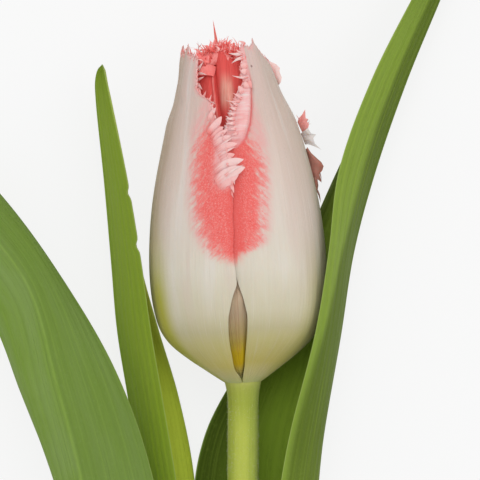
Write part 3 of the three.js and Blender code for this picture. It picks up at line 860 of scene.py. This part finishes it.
def lay_raised_edges(finish, body, outside):
    """The raised edges are paler, combed towards their fringe, with a painted deep pink crease shade along
    the right one's fold; the right one's paleness is partly painted light on its raised flap.
    """
    around, height, own_right = finish.facts("around", "height", "right")
    own_left = 1 - own_right
    left = around.rise(0.6, -0.6)
    wisps = feathers(finish, 0.75, 0.22, 5.0)
    comb_left = finish.grain(around * 0.05, (height - around * 0.16) * 1.7, 0.0, 3.0, 0.6)
    comb_right = finish.grain(around * 0.05, height * 1.7, 6.0, 3.0, 0.6)
    pale_left = (around + (wisps - 0.5) * 16.0).rise(-19.0, -8.0) * left
    pale_left = pale_left * height.rise(39.0, 43.0) * height.rise(66.0, 57.0) * own_left * outside
    past = finish.curve(FOLD_COLOUR_LINE) - around
    # The right flap is paler: partly its own pale tissue, partly painted light where the raised flap turns
    # towards the light.
    pale_and_lit_right = past.rise(-0.5, 1.5) * (1 - left * around.rise(-10.0, -14.0)) * height.rise(48.5, 50.5)
    pale_and_lit_right = pale_and_lit_right * own_right * outside
    # Painted shade: a deep pink line in the crease along the right petal's fold.
    fold = abs(past - 0.2).rise(2.0, 0.3) * height.rise(48.5, 51.0) * height.rise(66.0, 62.5)
    combed = finish.ramp(comb_left * own_left + comb_right * own_right, [
        (0.3, (0.80, 0.33, 0.32)), (0.43, (0.82, 0.45, 0.44)), (0.58, (0.83, 0.54, 0.53)),
        (0.7, (0.80, 0.66, 0.64)),
    ])
    return finish.coats(
        body,
        (pale_left * 0.8 + pale_and_lit_right * 0.92, combed),
        (past.rise(7.0, 1.0) * pale_and_lit_right * 0.45, (0.78, 0.27, 0.27)),
        (fold * own_right * outside * 0.8, (0.74, 0.17, 0.17)),
    )


def petal_finish(name, flamed):
    """Cream petal with fine lengthwise veins, and where flamed, the flame and raised edges."""
    finish = soft_tissue(name, (1.0, 0.5, 0.35))
    around, height, margin = finish.facts("around", "height", "margin")
    inside = finish.inner_face() * margin.rise(0.8, 2.4)
    veins = finish.grain(around * 0.6, height * 0.035, 0.0, 4.0, 0.6)
    bands = finish.grain(around * 0.085, height * 0.035, 4.0, 2.0)
    fibres = finish.grain(around * 1.7, height * 0.10, 8.0, 3.0, 0.6)
    body = finish.up_the_bud([
        (0.0, (0.44, 0.47, 0.16)), (0.02, (0.50, 0.445, 0.17)), (0.05, (0.50, 0.42, 0.10)),
        (0.12, (0.47, 0.42, 0.18)), (0.155, (0.46, 0.415, 0.24)), (0.21, (0.55, 0.505, 0.36)),
        (0.33, (0.64, 0.59, 0.49)), (0.48, (0.665, 0.585, 0.515)), (0.62, (0.655, 0.535, 0.47)),
        (0.78, (0.62, 0.48, 0.425)), (1.0, (0.64, 0.475, 0.44)),
    ])
    # Painted shade: the body darkens to tan towards both flanks, more on the left, where the bud turns away
    # from the light.
    tan = finish.mix(height.rise(24.0, 44.0), (0.44, 0.36, 0.17), (0.42, 0.30, 0.225))
    # The flanks turn olive low down: partly the petals' own yellow-green tint, partly a painted reflection of
    # the green leaves and painted shade.
    flank = around.rise(-46.0, -63.0) * 0.95 + around.rise(40.0, 68.0) * 0.42
    body = finish.coats(
        body,
        # painted shade on the left and right flanks
        (around.rise(-45.0, -70.0) * height.rise(14.0, 34.0) * 0.92, tan),
        (around.rise(36.0, 54.0) * height.rise(12.0, 26.0) * 0.5, (0.50, 0.385, 0.32)),
        (bands.rise(0.50, 0.70) * 0.45 * height.rise(8.0, 26.0), TAN_PINK),
        # pale streaks, partly painted sheen
        (bands.rise(0.46, 0.30) * 0.35 * height.rise(8.0, 26.0), PALE_STREAK_AND_SHEEN),
        (veins.rise(0.50, 0.72) * 0.28, (0.54, 0.46, 0.37)),
        (fibres.rise(0.52, 0.72) * 0.16, (0.76, 0.72, 0.68)),
        (finish.noise(110.0).rise(0.5, 0.8) * 0.12, (0.58, 0.49, 0.42)),
        # olive tint with painted leaf reflection and painted shade on the low flanks
        (flank * height.rise(33.0, 17.0), OLIVE),
    )
    if flamed:
        body = lay_flame(finish, body, 1 - inside)
        body = lay_raised_edges(finish, body, 1 - inside)
    lining = finish.up_the_bud([
        (0.0, (0.60, 0.45, 0.02)), (0.16, (0.60, 0.48, 0.24)), (0.3, (0.66, 0.48, 0.38)), (0.6, PINK),
        (1.0, CORAL),
    ])
    rim = margin.rise(1.4, 0.0) * height.rise(50.0, 60.0)
    body = finish.coats(body, (rim * 0.6, (0.82, 0.40, 0.39)), (inside, lining))
    finish.feed("Base Color", tongue_colour(finish, body))
    finish.feed("Roughness", finish.noise(400.0, 2.0) * 0.16 + 0.44)
    relief = veins * 0.35 + fibres * 0.3 + bands * 0.4 + finish.noise(1500.0, 2.0) * 0.15
    finish.bump(relief, 0.00028)
    return finish


def coral_finish(name):
    """Inner petal: tan and yolk yellow low down, deep coral above, with a cream streak in front, painted
    crease shade at its fold and a painted glow higher up.
    """
    # Emission here carries the painted glow fed below.
    finish = soft_tissue(name, (1.0, 0.4, 0.3), Sheen_Weight=0.0, Emission_Strength=1.0)
    around, height, fringe = finish.facts("around", "height", "fringe")
    veins = finish.grain(around * 0.7, height * 0.03, 0.0, 4.0, 0.6)
    fibres = finish.grain(around * 2.2, height * 0.25, 3.0, 3.0, 0.6)
    body = finish.up_the_bud([
        (0.0, (0.58, 0.54, 0.26)), (0.02, (0.60, 0.50, 0.14)), (0.045, (0.62, 0.43, 0.008)),
        (0.08, (0.52, 0.365, 0.012)), (0.11, (0.40, 0.295, 0.055)), (0.14, (0.37, 0.275, 0.105)),
        (0.2, (0.40, 0.300, 0.19)), (0.3, (0.56, 0.43, 0.30)), (0.36, (0.57, 0.43, 0.30)),
        (0.5, (0.66, 0.34, 0.28)), (0.62, (0.72, 0.20, 0.17)), (0.75, (0.76, 0.11, 0.095)),
        (1.0, (0.76, 0.10, 0.09)),
    ])
    streak = (abs(around + 4.0) + (fibres - 0.5) * 14.0).rise(11.0, 5.0)
    streak = streak * height.rise(56.5, 59.5) * height.rise(66.0, 61.5)
    from_fold = around + 21.0 - (64.5 - height) * 1.2
    upper = height.rise(46.0, 53.0)
    body = finish.coats(
        body,
        (height.rise(56.0, 51.0) * height.rise(44.0, 48.0) * 0.45, (0.45, 0.11, 0.08)),
        (streak * fibres.rise(0.25, 0.55) * 0.75, (0.78, 0.46, 0.36)),
        # painted shade in the crease along the front inner petal's fold
        (abs(from_fold).rise(3.0, 0.4) * upper * 0.5, CREASE_SHADE_CORAL),
        (abs(from_fold + 4.0).rise(1.7, 0.3) * upper * 0.6, (0.84, 0.30, 0.27)),
    )
    body = finish.mix(veins.rise(0.48, 0.68) * 0.45, body, (0.72, 0.50, 0.46), "MULTIPLY")
    body = finish.mix(fibres.rise(0.55, 0.75) * 0.2, body, (0.84, 0.45, 0.40))
    body = tongue_colour(finish, body)
    finish.feed("Base Color", body)
    # painted glow: the upper tissue and its fringe glow from within, standing in for light through the thin
    # tissue
    through = height.rise(47.0, 58.0) * (fringe.rise(0.0, 0.5) * 0.14 + 0.05)
    finish.feed("Emission Color", finish.mix(through, (0.0, 0.0, 0.0), body))
    finish.feed("Roughness", finish.noise(400.0, 2.0) * 0.16 + 0.42)
    finish.bump(veins + fibres * 0.5 + finish.noise(1500.0, 2.0) * 0.2, 0.00025)
    return finish


flamed_petal = petal_finish("cream_petal_with_coral_flame", True)
plain_petal = petal_finish("cream_petal", False)
coral_petal = coral_finish("coral_inner_petal")

PETAL_MAKES = {
    "outer_petal_left": (280, 110, flamed_petal, "petal_cream"),
    "outer_petal_right": (280, 110, flamed_petal, "petal_cream"),
    "outer_petal_back": (200, 90, plain_petal, "petal_cream"),
    "inner_petal_front": (240, 90, coral_petal, "petal_coral"),
    "inner_petal_left": (150, 60, coral_petal, "petal_coral"),
    "inner_petal_right": (150, 60, coral_petal, "petal_coral"),
}
for name, (rows, columns, finish, slot) in PETAL_MAKES.items():
    outer, inner, facts = petal_grid(name, rows, columns)
    piece = sheet_piece("petal_" + name, outer, inner, facts)
    for fact in ("tone", "fringe"):
        piece.data.attributes.new(fact, "FLOAT", "POINT")
    add_fringe(piece, name, outer)
    close_and_smooth(piece)
    finish_piece(piece, finish, slot, name)


# ------------------------------------------------------------------ stem

def stem_centre(y):
    """Middle of the stem at a distance y from the receptacle, straight on above it."""
    t = np.minimum(1.0, 1 + y / STEM_LENGTH)
    rest = 1 - t
    x = -STEM_BOW * rest**2
    z = rest**2 * FOOT_RADIUS + 2 * rest * t * (BUD_RADIUS + FOOT_RADIUS) / 2 + t**2 * BUD_RADIUS
    return np.stack([x + RECEPTACLE[0], y + RECEPTACLE[1], z - BUD_RADIUS + RECEPTACLE[2]], axis=-1)


def stem_radius(y):
    return NECK_RADIUS + (FOOT_RADIUS - NECK_RADIUS) * (-y / STEM_LENGTH)


def round_piece(name, profile, centre_at, sides, swell_at):
    """A turned piece: profile rows of (height, radius) about centre_at(height), closed at its axis."""
    heights, radii = np.array(profile, float).T
    angle = np.linspace(-math.pi, math.pi, sides + 1)
    spread = np.ones((len(heights), sides + 1))
    side_x, side_z = np.sin(angle) * spread, np.cos(angle) * spread
    height = heights[:, None] * spread
    radius = radii[:, None] * swell_at(height, angle[None, :])
    places = centre_at(heights)[:, None, :] + radius[..., None] * np.stack([side_x, 0 * side_x, side_z], -1)
    piece = grid_piece(name, places, {"side_x": side_x, "side_z": side_z, "height": height})
    close_and_smooth(piece, 60)
    return piece


foot = [(-STEM_LENGTH, r) for r in (0.0, 0.9, 1.8, 2.7, 3.4, FOOT_RADIUS * 0.985)]
shaft = [(y, float(stem_radius(y))) for y in np.linspace(-STEM_LENGTH + 0.25, -5.5, 190)]
neck = [(-3.6, 3.27), (-2.6, 3.36), (-1.8, 3.46), (-1.1, 3.6), (-0.5, 3.74), (0.1, 3.86), (0.6, 3.86),
        (1.0, 3.7), (1.3, 3.3), (1.5, 2.6)]
core = [(CORE_TOP - drop, share * RIM_RADIUS)
        for drop, share in ((2.5, 0.42), (1.6, 0.42), (0.4, 1), (0, 1), (0, 0))]


def stem_ribs(height, angle):
    """Very shallow ribs and a slight unevenness along the stem."""
    ribs = 0.006 * np.sin(9 * angle + 0.4 * np.sin(height / 37))
    bends = 0.012 * np.sin(height / 23 + 2 * np.sin(angle))
    inside = smoothstep(height, -STEM_LENGTH, -STEM_LENGTH + 2) * smoothstep(height, 1, -4)
    return 1 + (ribs + bends) * inside


stem = round_piece("flower_stem", foot + shaft + neck + core, stem_centre, 48, stem_ribs)


def add_down(piece, count):
    """Short pale hairs over the upper stem, each a thin three-sided spike."""
    dice = random.Random(7)
    points, faces = [], []
    for _ in range(count):
        y = -dice.uniform(1.0, 150.0) if dice.random() < 0.35 else -dice.uniform(1.0, 45.0)
        angle = dice.uniform(0, math.tau)
        centre = stem_centre(np.array(y))
        out = np.array([math.sin(angle), 0, math.cos(angle)])
        side = np.array([math.cos(angle), 0, -math.sin(angle)])
        root = centre + out * (float(stem_radius(y)) - 0.08)
        tip = root + out * dice.uniform(0.25, 0.42) + np.array([0, dice.uniform(-0.2, 0.2), 0])
        first = len(points)
        points += [root - 0.03 * side, root + 0.03 * side, root + np.array([0, 0.05, 0]), tip]
        faces += [(first, first + 2, first + 1), (first, first + 1, first + 3),
                  (first + 1, first + 2, first + 3), (first + 2, first, first + 3)]
    nothing = np.zeros(len(points))
    join_mesh(piece, "down", points, faces, {
        "side_x": nothing, "side_z": nothing, "height": nothing, "hair": nothing + 1,
    })


add_down(stem, 2200)


def stem_finish():
    finish = Finish("downy_green_stem", Roughness=0.55, IOR=1.4, Subsurface_Weight=0.12,
                    Subsurface_Scale=0.0012, Subsurface_Radius=(0.6, 1.0, 0.2), Sheen_Weight=0.04,
                    Specular_IOR_Level=0.2)
    height, hair, side_x, side_z = finish.facts("height", "hair", "side_x", "side_z")
    around = finish.node("ShaderNodeCombineXYZ", None, {0: side_x, 1: side_z, 2: height * 0.012})
    streaks = finish.noise(7.0, 4.0, 0.6, around)
    mottle = finish.noise(160.0)
    speckle = finish.noise(1600.0, 2.0)
    colour = finish.ramp(height / STEM_LENGTH + 1.0, [
        (0.0, (0.30, 0.34, 0.09)), (0.4, (0.27, 0.36, 0.060)), (0.9, (0.37, 0.44, 0.065)),
        (0.965, (0.36, 0.42, 0.060)), (0.985, (0.32, 0.37, 0.050)), (0.995, (0.33, 0.37, 0.060)),
        (1.0, (0.42, 0.43, 0.11)),
    ])
    place = finish.node("ShaderNodeTexCoord", output="Object")
    cells = finish.node("ShaderNodeTexVoronoi", {"feature": "F1"}, {"Vector": place, "Scale": 1100.0})
    cut_colour = finish.mix(cells.rise(0.2, 0.5), (0.30, 0.34, 0.12), (0.56, 0.60, 0.34))
    # Painted highlight: the stem's middle, which faces up, is painted lighter.
    middle = abs(side_x + 0.05).rise(0.75, 0.2) * height.rise(-2.0, -12.0)
    finish.feed("Base Color", finish.coats(
        colour,
        (middle * 0.4, (0.52, 0.56, 0.10)),
        (side_x.rise(0.2, 0.95) * 0.3, (0.34, 0.46, 0.13)),
        (streaks.rise(0.45, 0.7) * 0.22, (0.50, 0.55, 0.09)),
        (mottle.rise(0.5, 0.8) * 0.15, (0.26, 0.35, 0.04)),
        (speckle.rise(0.56, 0.72) * 0.16, (0.56, 0.60, 0.26)),
        (height.rise(0.4 - STEM_LENGTH, 0.05 - STEM_LENGTH), cut_colour),
        (hair, (0.72, 0.75, 0.60)),
    ))
    finish.feed("Roughness", mottle * 0.2 + 0.45)
    finish.bump(streaks * 0.6 + speckle * 0.3, 0.0002)
    return finish


finish_piece(stem, stem_finish(), "stem_green", "stem")


# ------------------------------------------------------------------ pistil and stamens

PISTIL_LENGTH = 24.0
STAMEN_LEAN = math.radians(9)
STAMEN_RING = 2.8
FILAMENT_LENGTH = 8.0


def bud_axis(height):
    """The bud's own axis, for the pistil."""
    return stand(np.stack([height * 0, height, height * 0], axis=-1))


pistil_outline = [(CORE_TOP + rise, radius) for rise, radius in (
    (0.3, 0.0), (0.3, 1.0), (0.6, 1.35), (1.4, 1.75), (2.5, 2.1), (5, 2.42), (8, 2.6), (12, 2.62),
    (16, 2.5), (18.6, 2.2), (20, 2.0), (21, 2.4), (22, 3.0), (22.8, 3.2), (23.5, 3.0), (24, 2.3),
    (23.8, 1.0), (23.7, 0.0),
)]


def three_lobes(height, angle):
    """The ovary has three rounded sides and the stigma three folded lips."""
    stigma = smoothstep(height, CORE_TOP + 19.5, CORE_TOP + 22.5)
    return 0.95 - 0.09 * stigma + (0.05 + 0.14 * stigma) * np.cos(3 * angle)


def dusted_finish(name, roughness, start, length, unevenness, stops, relief_noise, relief):
    """Colour by share of the piece's length, made uneven by (scale, amount) of noise."""
    finish = Finish(name, Roughness=roughness)
    scale, amount = unevenness
    share = (finish.facts("height")[0] - start) / length
    finish.feed("Base Color", finish.ramp(share + (finish.noise(scale) - 0.5) * amount, stops))
    finish.bump(finish.noise(*relief_noise), relief)
    return finish


pistil_green = dusted_finish(
    "pistil_green", 0.5, CORE_TOP, PISTIL_LENGTH, (900.0, 0.2),
    [(0.0, (0.50, 0.58, 0.22)), (0.8, (0.62, 0.68, 0.34)), (0.9, (0.80, 0.76, 0.48)),
     (1.0, (0.86, 0.80, 0.56))],
    (1400.0,), 0.0003)
filament_yellow = dusted_finish(
    "filament_yellow", 0.45, 0.0, FILAMENT_LENGTH, (1200.0, 0.25),
    [(0.0, (0.80, 0.66, 0.16)), (0.6, (0.78, 0.72, 0.40)), (1.0, (0.74, 0.66, 0.50))],
    (2200.0, 2.0), 0.0002)
anther_dark = Finish("dark_dusty_anther", Roughness=0.85)
anther_dark.feed("Base Color", anther_dark.mix(
    anther_dark.noise(2600.0).rise(0.45, 0.65), (0.055, 0.038, 0.030), (0.22, 0.17, 0.09)))
anther_dark.bump(anther_dark.noise(3200.0), 0.0004)

pistil = round_piece("pistil_body", pistil_outline, bud_axis, 48, three_lobes)
finish_piece(pistil, pistil_green, "pistil_green", "pistil")

filament_outline = [(0.0, 0.0), (0.0, 0.5), (0.15, 0.58), (2.0, 0.55), (4.5, 0.46), (7.0, 0.38),
                    (7.85, 0.32), (FILAMENT_LENGTH, 0.2), (FILAMENT_LENGTH, 0.0)]
anther_outline = [(8.3, 0.0), (8.35, 0.35), (8.6, 0.75), (9.1, 1.08), (9.9, 1.25), (12.0, 1.28),
                  (15.0, 1.28), (17.6, 1.2), (18.9, 0.98), (19.7, 0.62), (20.15, 0.3), (20.3, 0.0)]


def anther_furrows(height, angle):
    """Two deep furrows part the anther into its pollen sacs."""
    return 0.86 + 0.13 * np.cos(2 * angle) ** 2 + 0.02 * np.sin(height * 4 + 3 * np.cos(angle))


def plain_round(height, angle):
    return 1.0


def stamen_line(turn):
    """centre_at along the stamen at this turn, from the filament's foot."""
    def centre(height):
        out = STAMEN_RING + height * math.sin(STAMEN_LEAN)
        up = CORE_TOP + CLEARANCE + 0.1 + height * math.cos(STAMEN_LEAN)
        return stand(np.stack([out * math.sin(turn), up, out * math.cos(turn)], axis=-1))
    return centre


for index in range(6):
    number = str(index + 1)
    line = stamen_line(index * math.tau / 6)
    filament = round_piece("stamen_filament_" + number, filament_outline, line, 16, plain_round)
    finish_piece(filament, filament_yellow, "filament_yellow", "filament_" + number)
    anther = round_piece("stamen_anther_" + number, anther_outline, line, 28, anther_furrows)
    finish_piece(anther, anther_dark, "anther_dark", "anther_" + number)


# ------------------------------------------------------------------ leaves

# Rails as in the frame: upper margin, keel and lower margin, in bud radii, lengths and radii.
LEAVES = {
    "leaf_right": dict(
        base=-80.0, side=1, fold=0.6,
        stations=[
            [(0.16, -0.82, 1.16), (0.45, -0.82, 0.78), (-0.3, -0.82, 0.4)],
            [(0.33, -0.42, 1.29), (0.77, -0.42, 0.68), (-0.58, -0.42, 0.28)],
            [(0.48, -0.17, 1.37), (0.88, -0.17, 0.63), (-0.45, -0.17, 0.21)],
            [(0.75, 0.14, 1.5), (1.08, 0.14, 0.61), (0.19, 0.14, 0.06)],
            [(0.91, 0.39, 1.5), (1.23, 0.39, 0.58), (0.65, 0.39, 0.06)],
            [(1.04, 0.62, 1.29), (1.46, 0.62, 0.55), (1.04, 0.62, 0.07)],
            [(1.41, 0.89, 1.0), (1.81, 0.89, 0.5), (1.53, 0.89, 0.06)],
            [(1.86, 1.13, 0.71), (2.18, 1.13, 0.42), (1.95, 1.13, 0.06)],
            [(2.37, 1.37, 0.42), (2.56, 1.37, 0.29), (2.44, 1.37, 0.08)],
            [(2.82, 1.52, 0.16)] * 3,
        ],
    ),
    "leaf_left_narrow": dict(
        base=-105.0, side=-1, fold=0.7,
        stations=[
            [(-0.29, -1.13, 1.13), (-0.52, -1.13, 0.82), (-0.34, -1.13, 0.53)],
            [(-0.52, -0.7, 1.16), (-0.84, -0.7, 0.76), (-0.45, -0.7, 0.55)],
            [(-0.71, -0.29, 1.16), (-1.12, -0.29, 0.74), (-0.53, -0.29, 0.5)],
            [(-0.86, -0.05, 1.21), (-1.26, -0.05, 0.74), (-0.71, -0.05, 0.42)],
            [(-0.99, 0.15, 1.32), (-1.38, 0.15, 0.74), (-0.94, 0.15, 0.32)],
            [(-1.11, 0.36, 1.37), (-1.45, 0.36, 0.71), (-1.16, 0.36, 0.24)],
            [(-1.27, 0.6, 1.26), (-1.53, 0.6, 0.68), (-1.32, 0.6, 0.21)],
            [(-1.46, 0.83, 0.97), (-1.62, 0.83, 0.63), (-1.48, 0.83, 0.32)],
            [(-1.515, 0.895, 0.8), (-1.63, 0.895, 0.62), (-1.53, 0.895, 0.45)],
            [(-1.55, 0.932, 0.7), (-1.605, 0.932, 0.62), (-1.555, 0.932, 0.55)],
            [(-1.57, 0.945, 0.63)] * 3,
        ],
    ),
    "leaf_left_broad": dict(
        base=-150.0, side=-1, fold=0.35,
        stations=[
            [(-0.39, -1.62, 1.11), (-0.74, -1.62, 0.76), (-0.45, -1.62, 0.34)],
            [(-0.61, -1.13, 1.21), (-1.13, -1.13, 1.03), (-1.05, -1.13, 0.39)],
            [(-0.75, -0.7, 1.29), (-1.5, -0.7, 1.26), (-1.68, -0.7, 0.63)],
            [(-0.97, -0.29, 1.29), (-1.76, -0.29, 1.37), (-2.1, -0.29, 0.89)],
            [(-1.39, 0.03, 1.24), (-2.04, 0, 1.34), (-2.46, -0.03, 0.92)],
            [(-2.06, 0.33, 1.08), (-2.35, 0.28, 1.21), (-2.79, 0.18, 0.79)],
            [(-2.68, 0.55, 0.82), (-2.92, 0.48, 0.92), (-3.37, 0.37, 0.5)],
            [(-3.47, 0.76, 0.42), (-3.63, 0.7, 0.5), (-3.92, 0.61, 0.24)],
            [(-4.53, 0.93, 0.05)] * 3,
        ],
    ),
}


def clasp_station(base, side):
    centre = stem_centre(np.array(base))
    radius = stem_radius(base) + CLEARANCE + LEAF_THICKNESS
    angles = [math.radians(degrees) for degrees in (95, 0, -95)]
    return [centre + radius * np.array([side * math.cos(a), 0, math.sin(a)]) for a in angles]


def rail_point(points, share):
    """A point on the smooth rail through points, with even weight to each stretch."""
    last = len(points) - 1
    start = min(int(share * last), last - 1)
    w = share * last - start
    p1, p2 = points[start], points[start + 1]
    p0 = points[start - 1] if start > 0 else 2 * p1 - p2
    p3 = points[start + 2] if start + 2 <= last else 2 * p2 - p1
    stretches = ((p0, p1), (p1, p2), (p2, p3))
    d0, d1, d2 = (max(np.linalg.norm(b - a) ** 0.5, 1e-4) for a, b in stretches)
    t1 = ((p1 - p0) / d0 - (p2 - p0) / (d0 + d1) + (p2 - p1) / d1) * d1
    t2 = ((p2 - p1) / d1 - (p3 - p1) / (d1 + d2) + (p3 - p2) / d2) * d1
    return p1 + t1 * w + (3 * p2 - 3 * p1 - 2 * t1 - t2) * w**2 + (2 * p1 - 2 * p2 + t1 + t2) * w**3


def leaf_grid(name, rows, columns):
    leaf = LEAVES[name]
    shift = RECEPTACLE * (1, 1, 0) + (0, 0, RECEPTACLE[2] - BUD_RADIUS)
    scale = np.array([BUD_RADIUS, BUD_LENGTH, BUD_RADIUS])
    stations = [clasp_station(leaf["base"], leaf["side"])]
    stations += [[np.array(p) * scale + shift for p in station] for station in leaf["stations"]]
    along = np.linspace(0, 1, rows)
    rails = [np.array([rail_point([s[k] for s in stations], v) for v in along]) for k in range(3)]
    upper, keel, lower = (rail[:, None, :] for rail in rails)
    across = np.linspace(-1, 1, columns)[None, :, None]
    reach = across * np.ones((rows, columns, 1))
    if name == "leaf_left_narrow":
        # two small nicks in the upper margin
        y = upper[..., 1] - RECEPTACLE[1]
        nick = 0.10 * ridge(y, 39.6, 0.8) + 0.09 * ridge(y, 28.6, 0.9)
        edge = smoothstep(leaf["side"] * -across[..., 0], 0.6, 1.0)
        reach = reach * (1 - nick * edge)[..., None]
    turned = leaf["side"] * reach
    fold = leaf["fold"]
    swing = (1 - fold) * np.sin(turned * math.pi / 2) + fold * turned
    rise = (1 - fold) * (1 - np.cos(reach * math.pi / 2)) + fold * np.sqrt(reach**2 + 0.0016) - fold * 0.04
    surface = keel + swing * (lower - upper) / 2 + rise * ((upper + lower) / 2 - keel)
    outward = face_normals(surface)
    v = along[:, None] * np.ones((rows, columns))
    q = across[..., 0] * np.ones((rows, columns))
    length = np.linalg.norm(np.diff(rails[1], axis=0), axis=1)
    distance = np.concatenate([[0], np.cumsum(length)])[:, None] * np.ones((rows, columns))
    width = (np.linalg.norm(upper - keel, axis=-1) + np.linalg.norm(lower - keel, axis=-1)) / 2
    # parallel ribs, a raised keel and a slow ripple of the margins
    flat = hill(v, 0.02, 0.98, 0.1)
    relief = 0.05 * np.cos(q * 46) + 0.35 * ridge(q * width, 0, 0.9) * (1 - smoothstep(v, 0.8, 1))
    relief += 0.35 * waves(len(name), distance / 11, q * 0.8) * smoothstep(np.abs(q), 0.5, 1.0)
    surface = surface + outward * (relief * flat)[..., None]
    wall = LEAF_THICKNESS * tapers(q, v, 0.16, 0.05)
    inner = surface - outward * wall[..., None]
    edge = (1 - np.abs(q)) * width
    return surface, inner, {"across": q * leaf["side"], "along": distance, "edge": edge, "share": v}


def leaf_finish(name, face, bloom, light, shade, inner_face, bloom_amount, shaded_strip,
                widening=0.0, shaded_far_face=None):
    """A waxy leaf: parallel veins, a keel with a partly painted highlight, a bluish bloom, and painted shade
    in a strip beside the keel.
    """
    finish = Finish(name, Roughness=0.5, IOR=1.42, Subsurface_Weight=0.06, Subsurface_Scale=0.001,
                    Subsurface_Radius=(0.5, 1.0, 0.15), Specular_IOR_Level=0.12)
    across, along, edge, share = finish.facts("across", "along", "edge", "share")
    inside = finish.inner_face()
    outside = 1 - inside
    veins = finish.grain(across * 22.0, along * 0.010, 0.0, 3.0, 0.65)
    fine_veins = finish.grain(across * 85.0, along * 0.035, 3.0, 3.0, 0.6)
    patches = finish.grain(across * 2.2, along * 0.035, 7.0, 4.0, 0.55)
    flecks = finish.grain(across * 30.0, along * 0.35, 5.0, 3.0, 0.6)
    grain = finish.noise(1300.0, 3.0, 0.6)
    low, high, amount = shaded_strip
    strip = (across - share.rise(0.32, 0.60) * widening + (patches - 0.5) * 0.12).rise(low, high)
    # Towards the lower margin the inner face takes the far-face colour: for the right leaf, painted shade
    # where its far half lies under the flower head.
    inner_colour = finish.mix(across.rise(0.45, 0.95), inner_face, shaded_far_face or inner_face)
    # The keel line is paler: partly the paler midrib, partly a painted highlight along the ridge.
    keel_line = abs(across).rise(0.028, 0.006) * flecks.rise(0.35, 0.55) * outside
    # Painted shade: a thin dark line just beside the keel.
    beside_keel = abs(across + 0.05).rise(0.035, 0.010) * outside
    keel_colour = (light[0] * 1.2, light[1] * 1.15, light[2] * 1.4)
    finish.feed("Base Color", finish.coats(
        finish.mix(patches.rise(0.35, 0.68) * bloom_amount, face, bloom),
        (strip * amount, shade),
        (share.rise(0.35, 0.0) * 0.4, light),
        (inside, inner_colour),
        (veins.rise(0.52, 0.72) * 0.30, light),
        (veins.rise(0.48, 0.30) * 0.30, shade),
        (fine_veins.rise(0.5, 0.72) * 0.22, light),
        (flecks.rise(0.56, 0.70) * 0.22, shade),
        (keel_line * 0.25, keel_colour),
        (beside_keel * 0.35, shade),
        (share.rise(0.70, 0.95) * 0.5, shade),
        # paler margins: partly the leaf's own paler edge, partly a painted highlight along it
        (edge.rise(0.34, 0.1) * 0.5, (0.33, 0.42, 0.13)),
        (grain.rise(0.52, 0.74) * 0.16, bloom),
    ))
    finish.feed("Roughness", patches * 0.18 + grain * 0.12 + 0.45)
    finish.bump(veins * 0.7 + fine_veins * 0.4 + grain * 0.2, 0.0003)
    return finish


leaf_makes = {
    # The right leaf's far face is painted in shade, as it lies under the flower head.
    "leaf_right": leaf_finish(
        "right_leaf_green", face=(0.205, 0.300, 0.036), bloom=(0.215, 0.305, 0.058),
        light=(0.29, 0.395, 0.055), shade=(0.088, 0.134, 0.012), inner_face=(0.200, 0.310, 0.025),
        bloom_amount=0.4, shaded_strip=(-1.02, -0.84, 0.95), widening=0.50,
        shaded_far_face=(0.056, 0.090, 0.005)),
    # The narrow leaf's inner face is partly its own yellow-green, partly painted light as if lit through the
    # leaf.
    "leaf_left_narrow": leaf_finish(
        "narrow_leaf_green", face=(0.240, 0.345, 0.021), bloom=(0.250, 0.340, 0.042),
        light=(0.27, 0.37, 0.030), shade=(0.145, 0.230, 0.016), inner_face=(0.420, 0.510, 0.046),
        bloom_amount=0.4, shaded_strip=(0.1, -0.1, 0.35)),
    "leaf_left_broad": leaf_finish(
        "broad_leaf_green", face=(0.175, 0.280, 0.040), bloom=(0.205, 0.298, 0.088),
        light=(0.225, 0.335, 0.058), shade=(0.120, 0.190, 0.036), inner_face=(0.18, 0.29, 0.04),
        bloom_amount=0.75, shaded_strip=(0.02, -0.12, 0.55)),
}
for name, finish in leaf_makes.items():
    outer, inner, facts = leaf_grid(name, 300, 81)
    leaf = sheet_piece("blade_" + name, outer, inner, facts)
    close_and_smooth(leaf, 60)
    finish_piece(leaf, finish, "leaf_green", name)


# ------------------------------------------------------------------ floor, light and camera

select()
bpy.ops.mesh.primitive_plane_add(size=6, location=(0, 0, 0))
floor = bpy.context.object
floor.name = "pale_floor"
paper = Finish("pale_floor_paper", Roughness=0.9, Specular_IOR_Level=0.0, Emission_Strength=0.82,
               Base_Color=(0.12, 0.12, 0.12, 1.0), Emission_Color=(1.0, 1.0, 1.0, 1.0))
floor.data.materials.append(paper.material)

scene = bpy.context.scene
scene.world = scene.world or bpy.data.worlds.new("soft_studio")
scene.world.use_nodes = True
background = scene.world.node_tree.nodes["Background"].inputs
background["Color"].default_value = (1.0, 1.0, 1.0, 1.0)
background["Strength"].default_value = 0.76
scene.view_settings.view_transform = "Standard"

VIEW_CENTRE = Vector((RECEPTACLE + (-0.6, 29.8, 0)) * MM)
FIELD = 100.8 * MM
LENS = 250.0
SENSOR = 36.0


def soft_light(name, offset, size, power):
    """A large square lamp aimed at the bud, offset in metres from the floor below it."""
    place = Vector((VIEW_CENTRE.x, VIEW_CENTRE.y, 0.0)) + Vector(offset)
    bpy.ops.object.light_add(type="AREA", location=place)
    lamp = bpy.context.object
    lamp.name = name
    lamp.data.size = size
    lamp.data.energy = power
    lamp.rotation_euler = Vector(offset).to_track_quat("Z", "Y").to_euler()


soft_light("key_light", (-0.10, 0.55, 1.5), 0.8, 6.0)
soft_light("fill_light", (0.8, 0.1, 1.2), 0.8, 3.5)

bpy.ops.object.camera_add(location=VIEW_CENTRE + Vector((0.0, 0.0, FIELD * LENS / SENSOR)))
camera = bpy.context.object
camera.data.lens = LENS
camera.data.sensor_width = SENSOR
camera.data.clip_start = 0.01
camera.data.clip_end = 20.0
scene.camera = camera
